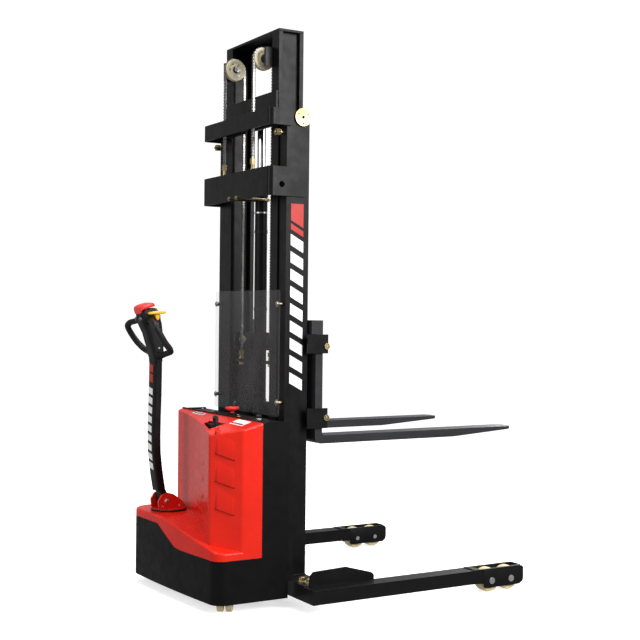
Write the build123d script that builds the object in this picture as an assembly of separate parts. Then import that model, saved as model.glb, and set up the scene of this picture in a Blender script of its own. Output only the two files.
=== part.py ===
from build123d import *
import os
from math import cos, radians, sin

# Straddle walkie stacker, all sizes in millimetres.
# Truck axes while modelling: +X towards the fork tips, +Y to the left, +Z up, the floor at Z = 0.
# X = 0 is the rear face of the fixed mast. Every node is moved back by MIDDLE_X when it is written,
# so that the finished part stands centred on its own footprint.

# ---------------------------------------------------------------- driving dimensions
FORK_TIP_X = 1197.0          # foremost point of the truck
HANDLE_REAR_X = -442.24      # rearmost point of the tiller head
MIDDLE_X = (FORK_TIP_X + HANDLE_REAR_X) / 2

STRADDLE_HALF = 585.0        # outer face of a straddle leg
LEG_WIDTH = 79.0
LEG_LOW, LEG_TOP = 45.0, 102.5
LEG_BACK_X, LEG_BEAM_X, LEG_TIP_X = -7.0, 795.0, 1059.0
LOAD_WHEEL_R, LOAD_WHEEL_WIDTH = 51.0, 54.0
LOAD_WHEEL_X = (891.0, 997.0)
AXLE_R = 10.0

CHASSIS_HALF = 403.0
CHASSIS_FRONT_X = -23.0
COVER_FRONT_X = -143.0
CHASSIS_LOW, CHASSIS_TOP = 40.0, 762.0
SHEET = 5.0                  # steel sheet of the chassis
MOULDING = 4.0               # wall of the plastic covers

OUTER_HALF, OUTER_DEPTH, OUTER_INNER_EDGE = 316.6, 107.5, 257.0
OUTER_WEB, OUTER_FLANGE = 10.0, 13.0
OUTER_LOW, OUTER_TOP = 108.0, 2045.0
INNER_HALF, INNER_INNER_EDGE = 250.0, 190.0
INNER_BACK_X, INNER_FRONT_X = -5.6, 112.0
INNER_WEB_IN, INNER_WEB_OUT, INNER_FLANGE = 222.0, 232.0, 18.0
INNER_LOW, INNER_TOP = 430.0, 2400.0
ROLLER_R, ROLLER_X, ROLLER_WIDTH, STUB_R = 40.0, 53.5, 28.0, 12.0

LOWER_BRACKET_Z = (1689.5, 1811.0)
UPPER_BRACKET_Z = (1983.0, 2052.0)
BRACKET_BACK_X, BRACKET_SHEET = -86.0, 8.0

CYLINDER_X, CYLINDER_R, CYLINDER_BORE_R, ROD_R = 49.0, 28.0, 22.5, 20.0
CYLINDER_TOP = 1712.0
CLAMP_Y, CLAMP_Z = 35.0, 1700.0    # legs of the U-bolt round the cylinder

SHEAVE_X, SHEAVE_Y, SHEAVE_Z = -20.0, 137.0, 2286.0
CHAIN_PITCH_R, CHAIN_HALF_WIDTH, CHAIN_HALF_DEPTH = 47.0, 7.0, 5.7

FORK_UNDER_Z, FORK_THICK, FORK_WIDTH = 656.0, 35.0, 100.0
FORK_INNER_Y, SHANK_X = 241.0, 134.0
BAR_BACK_X, BAR_THICK, BAR_HALF = 116.0, 18.0, 345.0
UPPER_BAR_Z, LOWER_BAR_Z = (1036.0, 1116.0), (722.0, 806.0)

STEER_X, STEER_Y = -280.0, 225.0
PLATEAU_Z = 329.0
TILLER_PIVOT_X, TILLER_PIVOT_Z = -311.0, 375.0
DRIVE_WHEEL_R, DRIVE_WHEEL_WIDTH = 100.0, 65.0
CASTOR_X, CASTOR_Y, CASTOR_WHEEL_R, CASTOR_TRAIL = -258.0, -308.0, 50.0, 28.0
CASTOR_TURN = 240.0          # rest heading of the castor trail, degrees from +X

BASE_LOW, BASE_TOP = 150.0, 158.0
BASE_FRONT_X = -30.0
BRIDGE_Z = 247.0
GUARD_X, GUARD_BOLT_Y, GUARD_BOLT_Z = -24.0, 292.0, (831.0, 1242.0)
FLANGE_X, FLANGE_Z = 72.0, 2022.0
TOP_ROLLER_Z, LOW_ROLLER_Z = 2004.0, 472.0
ROD_TOP = 2052.0
CARRIAGE_ROLLER_LOW_Z, CARRIAGE_ROLLER_HIGH_Z = 770.0, 1068.0
RETAINER_X, RETAINER_Z = 180.0, (1066.0, 766.0)
ESTOP_X, ESTOP_Y, ESTOP_TRAVEL = -112.0, -58.0, 5.0
KEY_X, KEY_Y = -118.0, -314.0
ARM_REAR_X = -368.0
THROTTLE_X, THROTTLE_Z = -366.0, 1189.0
BUTTON_DY, BUTTON_Z, BUTTON_R = (-22.0, 22.0), 1172.0, 9.0
CAP_TILT = 15.0              # slope of the red safety cap, degrees


# ---------------------------------------------------------------- helpers
def block(x, y, z):
    """Box between the two ends of each (low, high) pair."""
    size = [b - a for a, b in (x, y, z)]
    middle = [(a + b) / 2 for a, b in (x, y, z)]
    return Pos(*middle) * Box(*size)


def bar_x(x, y, z, radius):
    return Pos((x[0] + x[1]) / 2, y, z) * Rot(0, 90, 0) * Cylinder(radius, x[1] - x[0])


def bar_y(x, y, z, radius):
    return Pos(x, (y[0] + y[1]) / 2, z) * Rot(90, 0, 0) * Cylinder(radius, y[1] - y[0])


def bar_z(x, y, z, radius):
    return Pos(x, y, (z[0] + z[1]) / 2) * Cylinder(radius, z[1] - z[0])


def hexagon_x(x, y, z, across):
    outline = Plane.YZ * RegularPolygon(across / 2, 6, major_radius=False)
    return Pos(x[0], y, z) * extrude(outline, x[1] - x[0])


def hexagon_y(x, y, z, across):
    outline = Plane.XZ * RegularPolygon(across / 2, 6, major_radius=False)
    return Pos(x, y[1], z) * extrude(outline, y[1] - y[0])


def hexagon_z(x, y, z, across):
    outline = RegularPolygon(across / 2, 6, major_radius=False)
    return Pos(x, y, z[0]) * extrude(outline, z[1] - z[0])


def side_plate(points, y):
    """Flat plate from an outline of (x, z) points, between two Y values."""
    outline = Polygon(*points, align=None)
    return Pos(0, y[0], 0) * extrude(Plane.XZ * outline, y[1] - y[0], dir=(0, 1, 0))


def rear_profile(points, x):
    """Plate from an outline of (y, z) points, between two X values."""
    outline = Polygon(*points, align=None)
    return Pos(x[0], 0, 0) * extrude(Plane.YZ * outline, x[1] - x[0], dir=(1, 0, 0))


def right_of(solid):
    return mirror(solid, about=Plane.XZ)


def both(solid):
    """A left-hand solid with its right-hand twin."""
    return solid + right_of(solid)


# ---------------------------------------------------------------- chassis and covers
REAR_CORNER_RIGHT = (-345.0, -CHASSIS_HALF)
REAR_CORNER_LEFT = (-397.0, CHASSIS_HALF)
REAR_MIDDLE = (-385.0, 40.0)
# height of the joint between the red cover and the black skirt, as (y, z) across the rear
JOINT_LINE = [(500.0, 296.0), (96.0, 296.0), (-62.0, 220.0), (-110.0, 215.0), (-500.0, 215.0)]


def chassis_plan(inset, front_x):
    """Plan of the truck's tail: straight sides, bowed rear, rounded corners."""
    half = CHASSIS_HALF - inset
    right = (REAR_CORNER_RIGHT[0] + inset, -half)
    left = (REAR_CORNER_LEFT[0] + inset, half)
    middle = (REAR_MIDDLE[0] + inset, REAR_MIDDLE[1])
    outline = Polyline((front_x, half), (front_x, -half), right)
    outline += ThreePointArc(right, middle, left) + Line(left, (front_x, half))
    face = make_face(outline)
    corners = face.vertices().sort_by(Axis.X)
    face = fillet([v for v in corners[:2] if v.Y < 0], 55 - inset)
    corners = [v for v in face.vertices() if abs(v.X - left[0]) < 1 and abs(v.Y - left[1]) < 1]
    return fillet(corners, 100 - inset)


def chassis_frame():
    """Welded skirt and side panels, open towards the mast."""
    outer = extrude(chassis_plan(0, CHASSIS_FRONT_X), CHASSIS_TOP - CHASSIS_LOW)
    inner = extrude(chassis_plan(SHEET, CHASSIS_FRONT_X + 50), CHASSIS_TOP)
    shell = Pos(0, 0, CHASSIS_LOW) * (outer - inner)
    above = JOINT_LINE + [(-500.0, 900.0), (500.0, 900.0)]
    shell -= rear_profile(above, (-500.0, COVER_FRONT_X))
    top_corner = both(bar_y(COVER_FRONT_X + 25, (390.0, 410.0), CHASSIS_TOP - 25, 25))
    corner_x = (COVER_FRONT_X - 1, COVER_FRONT_X + 25)
    square = both(block(corner_x, (390, 410), (CHASSIS_TOP - 25, CHASSIS_TOP + 1)))
    return shell - (square - top_corner)


def base_plate():
    """Floor of the chassis with the raised bridge that carries the drive head."""
    plan = extrude(chassis_plan(SHEET, BASE_FRONT_X), 400)
    floor = block((-500, BASE_FRONT_X), (-500, 500), (BASE_LOW, BASE_TOP))
    floor -= bar_z(STEER_X, STEER_Y, (BASE_LOW - 1, BASE_TOP + 1), 112)
    floor -= bar_z(CASTOR_X, CASTOR_Y, (BASE_LOW - 1, BASE_TOP + 1), 12)
    bridge = block((-500, -205), (105, 500), (BRIDGE_Z, BRIDGE_Z + 8))
    bridge -= bar_z(STEER_X, STEER_Y, (BRIDGE_Z - 1, BRIDGE_Z + 9), 50)
    inner_wall = block((-500, -205), (105, 111), (BASE_TOP, BRIDGE_Z))
    outer_wall = block((-345, -205), (392, 500), (BASE_TOP, BRIDGE_Z))
    return plan & (floor + bridge + inner_wall + outer_wall)


TOWER_LEFT = (-165.0, CHASSIS_HALF)
TOWER_RIGHT = (-336.0, -300.0)
TOWER_SCOOP = (-216.0, 110.0)
PILLAR_BACK = (-232.0, -CHASSIS_HALF)
TOP_FRONT_Z, TOP_SLOPE = 760.0, 0.26
# opening over the battery connector, (x, y) in plan
CONNECTOR_OPENING = [(-248.0, -52.0), (-215.0, -52.0), (-215.0, -212.0), (-294.0, -212.0)]


def tower_plan(inset, front_x):
    """Plan of the tall part of the cover: a hollowed rear face and an oblique right side."""
    half = CHASSIS_HALF - inset
    left = (TOWER_LEFT[0] + inset, half)
    corner = (TOWER_RIGHT[0] + inset, TOWER_RIGHT[1] + inset)
    pillar = (PILLAR_BACK[0] + inset, -half)
    scoop = (TOWER_SCOOP[0] + inset, TOWER_SCOOP[1])
    outline = ThreePointArc(left, scoop, corner)
    outline += Polyline(corner, pillar, (front_x, -half), (front_x, half), left)
    return make_face(outline)


def body_cover():
    """Red moulded cover: low deck around the tiller and tall tower over the battery."""
    deck_top = [(-450.0, 236.0), (-330.0, 262.0), (-40.0, 312.0), (70.0, PLATEAU_Z), (450.0, PLATEAU_Z)]
    deck = extrude(chassis_plan(0, COVER_FRONT_X), 400)
    deck &= rear_profile(JOINT_LINE + deck_top, (-500.0, COVER_FRONT_X))
    rim = [e for e in deck.edges() if e.center().X < COVER_FRONT_X - 5 and e.length > 12]
    deck = fillet([e for e in rim if is_deck_rim(e)], 9)
    tower = extrude(tower_plan(0, CHASSIS_FRONT_X), CHASSIS_TOP + 100)
    tower = fillet(tower.edges().filter_by(Axis.Z).sort_by(Axis.X)[:3], 20)
    tower -= side_plate(top_cutter(0), (-500.0, 500.0))
    crown = [e for e in tower.edges() if e.center().Z > 690 and e.center().X < CHASSIS_FRONT_X - 5]
    tower = fillet(crown, 9)
    tower &= rear_profile(JOINT_LINE + [(-500.0, 900.0), (500.0, 900.0)], (-500.0, COVER_FRONT_X))
    cover = deck + tower
    inner = extrude(chassis_plan(MOULDING, COVER_FRONT_X + 1), 400)
    lowered = [(y, z - MOULDING) for y, z in deck_top]
    inner &= rear_profile([(y, z - 1) for y, z in JOINT_LINE] + lowered, (-500.0, COVER_FRONT_X + 1))
    hollow = extrude(tower_plan(MOULDING, COVER_FRONT_X + 1), CHASSIS_TOP + 40)
    hollow -= side_plate(top_cutter(MOULDING), (-500.0, 500.0))
    cover -= inner + hollow
    cover -= bar_z(STEER_X, STEER_Y, (200, 400), 62)
    return cover - Pos(0, 0, 660) * extrude(Polygon(*CONNECTOR_OPENING, align=None), 140, dir=(0, 0, 1))


def is_deck_rim(edge):
    """True for the edges where the deck's top meets its outer wall."""
    start, end = edge @ 0, edge @ 1
    outside = max(abs(start.Y), abs(end.Y)) > CHASSIS_HALF - 1 or edge.geom_type != GeomType.LINE
    return outside and min(point.Z - joint_height(point.Y) for point in (start, end)) > 10


def joint_height(y):
    """Height of the cover joint at y."""
    points = sorted(JOINT_LINE)
    for (y0, z0), (y1, z1) in zip(points, points[1:]):
        if y0 <= y <= y1:
            return z0 + (z1 - z0) * (y - y0) / (y1 - y0)
    return points[0][1]


def top_cutter(drop):
    """Everything above the sloping top of the tower, as an (x, z) outline."""
    def top(x):
        return TOP_FRONT_Z - drop - TOP_SLOPE * (COVER_FRONT_X - x)
    return [(10.0, top(10.0)), (-500.0, top(-500.0)), (-500.0, 1000.0), (10.0, 1000.0)]


def top_tray():
    """Black lid between the tower and the mast."""
    lid = block((COVER_FRONT_X, CHASSIS_FRONT_X), (-397.5, 397.5), (TOP_FRONT_Z - 12, TOP_FRONT_Z - 4))
    lid += block((COVER_FRONT_X, COVER_FRONT_X + 6), (-397.5, 397.5), (TOP_FRONT_Z - 4, TOP_FRONT_Z + 6))
    lid -= bar_z(ESTOP_X, ESTOP_Y, (TOP_FRONT_Z - 13, TOP_FRONT_Z), 11)
    return lid - bar_z(KEY_X, KEY_Y, (TOP_FRONT_Z - 13, TOP_FRONT_Z), 13)


def battery():
    """Maintenance-free battery block standing on the chassis floor."""
    case = block((-205, -35), (-245, 95), (BASE_TOP, BASE_TOP + 220))
    lid = block((-203, -37), (-243, 93), (BASE_TOP + 220, BASE_TOP + 232))
    posts = [bar_z(-170, y, (BASE_TOP + 232, BASE_TOP + 250), 9) for y in (60, -210)]
    return case + lid + posts


def power_pack():
    """Lift motor on the pump block, with the oil tank beside it."""
    motor = bar_z(-120, -330, (BASE_TOP + 75, BASE_TOP + 250), 57)
    motor += bar_z(-100, -330, (BASE_TOP + 250, BASE_TOP + 288), 14)
    pump = block((-165, -75), (-375, -285), (BASE_TOP + 20, BASE_TOP + 75))
    foot = block((-160, -80), (-370, -290), (BASE_TOP, BASE_TOP + 20))
    tank = block((-136, -40), (-200, 330), (BASE_TOP + 300, BASE_TOP + 400))
    shelf = block((-138, -35), (-398, 398), (BASE_TOP + 288, BASE_TOP + 300))
    return motor + pump + foot + tank + shelf


def controller():
    """Finned drive and lift controller on the battery side of the tower."""
    case = block((-134, -44), (-110, 130), (BASE_TOP + 420, BASE_TOP + 470))
    fins = [block((-132, -46), (y, y + 4), (BASE_TOP + 470, BASE_TOP + 490)) for y in range(-102, 122, 16)]
    case += block((-134, -44), (-100, -60), (BASE_TOP + 400, BASE_TOP + 420))
    case += block((-134, -44), (80, 120), (BASE_TOP + 400, BASE_TOP + 420))
    return case + fins


# ---------------------------------------------------------------- fixed mast
def outer_channel():
    """Left channel of the fixed mast, open inwards."""
    body = block((0, OUTER_DEPTH), (OUTER_INNER_EDGE, OUTER_HALF), (OUTER_LOW, OUTER_TOP))
    inside = (OUTER_FLANGE, OUTER_DEPTH - OUTER_FLANGE)
    return body - block(inside, (OUTER_INNER_EDGE - 1, OUTER_HALF - OUTER_WEB), (OUTER_LOW, OUTER_TOP))


def bracket(z, front_x, front_corner):
    """Bent strap around the back of both fixed channels, welded to their webs."""
    half = OUTER_HALF + BRACKET_SHEET
    strap = block((BRACKET_BACK_X, front_x), (-half, half), z)
    strap = fillet(strap.edges().filter_by(Axis.Z).sort_by(Axis.X)[:2], 24)
    inside = block((BRACKET_BACK_X + BRACKET_SHEET, front_x + 1), (-OUTER_HALF, OUTER_HALF), z)
    inside = fillet(inside.edges().filter_by(Axis.Z).sort_by(Axis.X)[:2], 16)
    strap -= inside
    noses = strap.edges().filter_by(Axis.Y).sort_by(Axis.X)[-4:]
    return fillet(noses, front_corner)


def lower_bracket():
    strap = bracket(LOWER_BRACKET_Z, 98.0, 18)
    strap -= bar_y(-26, (-400, 400), 1737, 13)
    ledge = block((BRACKET_BACK_X + BRACKET_SHEET, -55), (122, 152), (1791, 1803))
    ledge -= bar_z(SHEAVE_X - CHAIN_PITCH_R, SHEAVE_Y, (1780, 1810), 7.2)
    saddle_x = (BRACKET_BACK_X + BRACKET_SHEET, CYLINDER_X - CYLINDER_R + 6)
    saddle = block(saddle_x, (-26, 26), (1692, CYLINDER_TOP))
    saddle -= bar_z(CYLINDER_X, 0, (1680, 1730), CYLINDER_R)
    strap -= both(bar_x((BRACKET_BACK_X - 1, saddle_x[0] + 1), CLAMP_Y, CLAMP_Z, 5.2))
    return strap + both(ledge) + saddle


def upper_bracket():
    return bracket(UPPER_BRACKET_Z, 26.0, 8)


def mast_base():
    """Hollow cross beam that carries the mast and both straddle legs."""
    x, half = (LEG_BACK_X, OUTER_LOW), STRADDLE_HALF - LEG_WIDTH
    beam = block(x, (-half, half), (LEG_LOW, OUTER_LOW))
    tunnel = block((x[0] + 9, x[1] - 9), (-half - 1, half + 1), (LEG_LOW + 9, OUTER_LOW - 9))
    feet = both(block((OUTER_LOW, OUTER_LOW + 4.5), (OUTER_INNER_EDGE, OUTER_HALF), (LEG_LOW, OUTER_LOW)))
    inside = CHASSIS_HALF - SHEET
    tie = block((LEG_BACK_X, 0), (OUTER_INNER_EDGE + 5, inside), (OUTER_LOW, CHASSIS_TOP - 60))
    tie += block((BASE_FRONT_X, LEG_BACK_X), (inside - 6, inside), (OUTER_LOW, CHASSIS_TOP - 60))
    return beam - tunnel + feet + both(tie)


def lift_cylinder():
    """Single lift cylinder on the centre line, with its gland."""
    tube = bar_z(CYLINDER_X, 0, (OUTER_LOW, CYLINDER_TOP), CYLINDER_R)
    tube -= bar_z(CYLINDER_X, 0, (OUTER_LOW + 12, CYLINDER_TOP + 1), CYLINDER_BORE_R)
    gland = bar_z(CYLINDER_X, 0, (CYLINDER_TOP, CYLINDER_TOP + 22), CYLINDER_R + 3)
    gland -= bar_z(CYLINDER_X, 0, (CYLINDER_TOP - 1, CYLINDER_TOP + 30), ROD_R + 0.06)
    return tube + gland


def mast_guard():
    """Clear sheet bolted behind the mast at the operator's height."""
    sheet = block((GUARD_X, GUARD_X + 5), (-306, 306), (772, 1300))
    sheet = fillet(sheet.edges().filter_by(Axis.X), 12)
    for z in GUARD_BOLT_Z:
        sheet -= both(bar_x((GUARD_X - 1, GUARD_X + 6), GUARD_BOLT_Y, z, 4.5))
    return sheet


def frame_bolts():
    """Guard screws with spacers, mast stop screws, leg screws and the cylinder's U-bolt."""
    parts = []
    for z in GUARD_BOLT_Z:
        parts.append(bar_x((GUARD_X + 5, 0), GUARD_BOLT_Y, z, 8))
        parts.append(bar_x((GUARD_X - 6, GUARD_X), GUARD_BOLT_Y, z, 8))
        parts.append(bar_x((GUARD_X, GUARD_X + 5), GUARD_BOLT_Y, z, 4.4))
    parts.append(bar_x((-44, 0), 287, 1957, 6) + hexagon_x((-38, -20), 287, 1957, 26))
    for x, y in ((30, 426), (40, 466)):
        parts.append(hexagon_z(x, y, (OUTER_LOW, OUTER_LOW + 14), 24))
    group = both(Part() + parts)
    bow = Pos(CYLINDER_X, 0, CLAMP_Z) * (Cylinder(CLAMP_Y + 5, 10) - Cylinder(CYLINDER_R + 0.2, 12))
    bow &= block((CYLINDER_X, CYLINDER_X + 60), (-60, 60), (CLAMP_Z - 8, CLAMP_Z + 8))
    legs = bar_x((BRACKET_BACK_X - 12, CYLINDER_X), CLAMP_Y, CLAMP_Z, 5)
    legs += hexagon_x((BRACKET_BACK_X - 8, BRACKET_BACK_X), CLAMP_Y, CLAMP_Z, 17)
    return group + bow + both(legs)


def roller_flanges():
    """Eccentric flanges and stub axles of the two rollers at the top of the fixed mast."""
    disc = bar_y(FLANGE_X, (OUTER_HALF, OUTER_HALF + 9), FLANGE_Z, 37.5)
    disc -= bar_y(FLANGE_X, (OUTER_HALF, OUTER_HALF + 10), FLANGE_Z, 6)
    for angle in (30, 150, 270):
        turn = radians(angle)
        x, z = FLANGE_X + 26 * cos(turn), FLANGE_Z + 26 * sin(turn)
        disc -= bar_y(x, (OUTER_HALF + 4, OUTER_HALF + 10), z, 4.5)
    stub = bar_y(ROLLER_X, (234, OUTER_HALF - OUTER_WEB), TOP_ROLLER_Z, STUB_R)
    return both(disc + stub)


def chain_anchors():
    """Threaded chain anchors standing on the lower bracket."""
    x = SHEAVE_X - CHAIN_PITCH_R
    anchor = bar_z(x, SHEAVE_Y, (1774, 1838), 7)
    anchor += hexagon_z(x, SHEAVE_Y, (1803, 1815), 19) + hexagon_z(x, SHEAVE_Y, (1779, 1791), 19)
    anchor += block((x - 8, x + 8), (SHEAVE_Y - 9, SHEAVE_Y + 9), (1836, 1860))
    return both(anchor)


# ---------------------------------------------------------------- straddle legs
def leg():
    """Left straddle leg: box beam, wheel frame of two side plates, and the upright guard plate."""
    inside_y = STRADDLE_HALF - LEG_WIDTH
    beam = block((LEG_BACK_X, LEG_BEAM_X), (inside_y, STRADDLE_HALF), (LEG_LOW, LEG_TOP))
    hollow_y = (inside_y + 7, STRADDLE_HALF - 7)
    beam -= block((LEG_BACK_X + 8, LEG_BEAM_X + 1), hollow_y, (LEG_LOW + 7, LEG_TOP - 7))
    outline = [(LEG_BEAM_X, LEG_LOW), (LEG_BEAM_X, LEG_TOP + 2), (LEG_TIP_X, LEG_TOP + 2)]
    outline += [(LEG_TIP_X, 66), (1046, LEG_LOW - 2), (LEG_BEAM_X + 40, LEG_LOW - 3)]
    frame = side_plate(outline, (inside_y, STRADDLE_HALF))
    tips = [e for e in frame.edges().filter_by(Axis.Z) if e.center().X > 1050]
    frame = fillet(tips, 16)
    frame -= block((LEG_BEAM_X + 36, 1051), (inside_y + 10, STRADDLE_HALF - 10), (0, 200))
    for x in LOAD_WHEEL_X:
        frame -= bar_y(x, (inside_y - 1, STRADDLE_HALF + 1), LOAD_WHEEL_R, AXLE_R)
    guard = [(17, LEG_TOP), (17, 146), (33, 162), (188, 168), (311, 134), (323, 122), (323, LEG_TOP)]
    return beam + frame + side_plate(guard, (508, 516))


def wheel_axles():
    """Load wheel axles with round zinc heads, flush in the side plates."""
    inside_y = STRADDLE_HALF - LEG_WIDTH
    axles = Part()
    for x in LOAD_WHEEL_X:
        axles += bar_y(x, (inside_y - 3, STRADDLE_HALF + 3), LOAD_WHEEL_R, AXLE_R)
        axles += bar_y(x, (STRADDLE_HALF, STRADDLE_HALF + 3), LOAD_WHEEL_R, AXLE_R + 4)
    return both(axles)


def load_wheel(x):
    """Left load wheel: tread on a hub with a running bore."""
    middle = STRADDLE_HALF - LEG_WIDTH / 2
    width = LOAD_WHEEL_WIDTH / 2
    wheel = bar_y(x, (middle - width, middle + width), LOAD_WHEEL_R, LOAD_WHEEL_R)
    wheel = chamfer(wheel.edges().filter_by(GeomType.CIRCLE), 4)
    for face in (middle - width, middle + width):
        recess = (face - 3, face + 3)
        wheel -= bar_y(x, recess, LOAD_WHEEL_R, 36) - bar_y(x, recess, LOAD_WHEEL_R, 17)
    return wheel - bar_y(x, (middle - 40, middle + 40), LOAD_WHEEL_R, AXLE_R + 0.05)


# ---------------------------------------------------------------- controls on the covers
def estop_body():
    collar = bar_z(ESTOP_X, ESTOP_Y, (TOP_FRONT_Z - 4, TOP_FRONT_Z + 14), 21)
    body = bar_z(ESTOP_X, ESTOP_Y, (TOP_FRONT_Z - 60, TOP_FRONT_Z - 12), 18)
    neck = bar_z(ESTOP_X, ESTOP_Y, (TOP_FRONT_Z - 12, TOP_FRONT_Z - 4), 11)
    return collar + body + neck - bar_z(ESTOP_X, ESTOP_Y, (TOP_FRONT_Z - 30, TOP_FRONT_Z + 20), 8.05)


def estop_knob():
    stem = bar_z(ESTOP_X, ESTOP_Y, (TOP_FRONT_Z - 20, TOP_FRONT_Z + 30), 8)
    cap = bar_z(ESTOP_X, ESTOP_Y, (TOP_FRONT_Z + 22, TOP_FRONT_Z + 40), 30)
    cap = fillet(cap.edges().filter_by(GeomType.CIRCLE), 7)
    return stem + cap


def key_switch():
    body = bar_z(KEY_X, KEY_Y, (TOP_FRONT_Z - 40, TOP_FRONT_Z + 4), 13)
    return body - bar_z(KEY_X, KEY_Y, (TOP_FRONT_Z - 16, TOP_FRONT_Z + 5), 5.05)


def key():
    stem = bar_z(KEY_X, KEY_Y, (TOP_FRONT_Z - 15, TOP_FRONT_Z + 8), 5)
    bow = block((KEY_X - 12, KEY_X + 12), (KEY_Y - 1.5, KEY_Y + 1.5), (TOP_FRONT_Z + 8, TOP_FRONT_Z + 26))
    return stem + fillet(bow.edges().filter_by(Axis.Y), 5)


# ---------------------------------------------------------------- lifting mast
def inner_channel():
    """Left beam of the lifting mast, with a roller track on both sides of its web."""
    flange_y = (INNER_INNER_EDGE, INNER_HALF)
    z = (INNER_LOW, INNER_TOP - 10)
    back = block((INNER_BACK_X, INNER_BACK_X + INNER_FLANGE), flange_y, z)
    front = block((INNER_FRONT_X - INNER_FLANGE, INNER_FRONT_X), flange_y, z)
    web = block((INNER_BACK_X, INNER_FRONT_X), (INNER_WEB_IN, INNER_WEB_OUT), z)
    stub = bar_y(ROLLER_X, (INNER_WEB_OUT, 290), LOW_ROLLER_Z, STUB_R)
    return back + front + web + stub


def inner_top_plate():
    cap = block((INNER_BACK_X, INNER_FRONT_X), (-INNER_HALF, INNER_HALF), (INNER_TOP - 10, INNER_TOP))
    wall_y = (-INNER_INNER_EDGE, INNER_INNER_EDGE)
    wall = block((INNER_FRONT_X - 12, INNER_FRONT_X), wall_y, (2322, INNER_TOP - 10))
    return cap + wall


def crosshead():
    """Tie plate behind the lifting beams, with the bracket that rests on the piston rod."""
    x = (INNER_BACK_X - 12, INNER_BACK_X)
    plate = block(x, (-INNER_HALF, INNER_HALF), (1992, 2137))
    plate -= block((x[0] - 1, x[1] + 1), (-48, 48), (1991, 2018))
    arm = block((INNER_BACK_X, CYLINDER_X + 32), (-34, 34), (ROD_TOP, ROD_TOP + 14))
    rib = [(INNER_BACK_X, ROD_TOP + 14), (CYLINDER_X + 20, ROD_TOP + 14), (INNER_BACK_X, ROD_TOP + 60)]
    return plate + arm + both(side_plate(rib, (24, 34)))


def inner_lower_tie():
    """Tie plate across the foot of the lifting beams."""
    x, z = (INNER_BACK_X - 12, INNER_BACK_X), (INNER_LOW + 10, INNER_LOW + 90)
    return block(x, (-INNER_HALF, INNER_HALF), z)


def piston_rod():
    rod = bar_z(CYLINDER_X, 0, (440, ROD_TOP), ROD_R)
    return rod + bar_z(CYLINDER_X, 0, (424, 440), CYLINDER_BORE_R - 0.05)


def sheave_axles():
    """Stub axles, bosses and lugs of the two chain sheaves."""
    pin = bar_y(SHEAVE_X, (SHEAVE_Y - 18, INNER_INNER_EDGE), SHEAVE_Z, AXLE_R)
    head = bar_y(SHEAVE_X, (SHEAVE_Y - 24, SHEAVE_Y - 13), SHEAVE_Z, 15)
    boss = bar_y(SHEAVE_X, (SHEAVE_Y + 13, INNER_INNER_EDGE), SHEAVE_Z, 20)
    lug_y = (INNER_INNER_EDGE, INNER_INNER_EDGE + 12)
    lug = block((SHEAVE_X - 24, INNER_BACK_X), lug_y, (SHEAVE_Z - 40, SHEAVE_Z + 40))
    return both(pin + head + boss + lug)


def sheave():
    """Left chain sheave: two flanges and a smooth groove."""
    wheel = bar_y(SHEAVE_X, (SHEAVE_Y - 12, SHEAVE_Y + 12), SHEAVE_Z, 47.5)
    groove = bar_y(SHEAVE_X, (SHEAVE_Y - 7.4, SHEAVE_Y + 7.4), SHEAVE_Z, 60)
    groove -= bar_y(SHEAVE_X, (SHEAVE_Y - 8, SHEAVE_Y + 8), SHEAVE_Z, CHAIN_PITCH_R - CHAIN_HALF_DEPTH - 0.4)
    return wheel - groove - bar_y(SHEAVE_X, (SHEAVE_Y - 20, SHEAVE_Y + 20), SHEAVE_Z, AXLE_R + 0.05)


def chain_wraps():
    """The half turn of chain over each sheave."""
    y = (SHEAVE_Y - CHAIN_HALF_WIDTH, SHEAVE_Y + CHAIN_HALF_WIDTH)
    ring = bar_y(SHEAVE_X, y, SHEAVE_Z, CHAIN_PITCH_R + CHAIN_HALF_DEPTH)
    ring -= bar_y(SHEAVE_X, y, SHEAVE_Z, CHAIN_PITCH_R - CHAIN_HALF_DEPTH)
    return both(ring & block((-100, 100), (0, 400), (SHEAVE_Z, SHEAVE_Z + 100)))


def chain_strand(offset, z):
    x = SHEAVE_X + offset
    y = (SHEAVE_Y - CHAIN_HALF_WIDTH, SHEAVE_Y + CHAIN_HALF_WIDTH)
    return both(block((x - CHAIN_HALF_DEPTH, x + CHAIN_HALF_DEPTH), y, z))


def roller(y, z):
    """A flanged pair of mast rollers, left and right, on one axis line."""
    wheel = bar_y(ROLLER_X, (y, y + ROLLER_WIDTH), z, ROLLER_R)
    wheel = chamfer(wheel.edges().filter_by(GeomType.CIRCLE), 2)
    return both(wheel - bar_y(ROLLER_X, (y - 1, y + ROLLER_WIDTH + 1), z, STUB_R + 0.05))


# ---------------------------------------------------------------- carriage and forks
def carriage_frame():
    """Fork carriage: two bars, end plates outside the mast and roller plates inside it."""
    bars_x, bars_y = (BAR_BACK_X, BAR_BACK_X + BAR_THICK), (-BAR_HALF, BAR_HALF)
    cheek = [(22, LOWER_BAR_Z[0] + 10), (BAR_BACK_X, LOWER_BAR_Z[0]), (BAR_BACK_X, UPPER_BAR_Z[1]),
             (22, UPPER_BAR_Z[1])]
    side = side_plate(cheek, (168, 180))
    for z in (UPPER_BAR_Z, LOWER_BAR_Z):
        side += block((89, 188), (BAR_HALF, BAR_HALF + 8), z)
    for z in (CARRIAGE_ROLLER_LOW_Z, CARRIAGE_ROLLER_HIGH_Z):
        side += bar_y(ROLLER_X, (180, 222), z, STUB_R)
    side += bar_y(35, (147, 168), 1084, 35)
    side += block((12, 44), (SHEAVE_Y - 11, 168), (984, 998))
    frame = block(bars_x, bars_y, UPPER_BAR_Z) + block(bars_x, bars_y, LOWER_BAR_Z) + both(side)
    for z in RETAINER_Z:
        frame += bar_y(RETAINER_X, bars_y, z, 9)
    return frame


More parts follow.
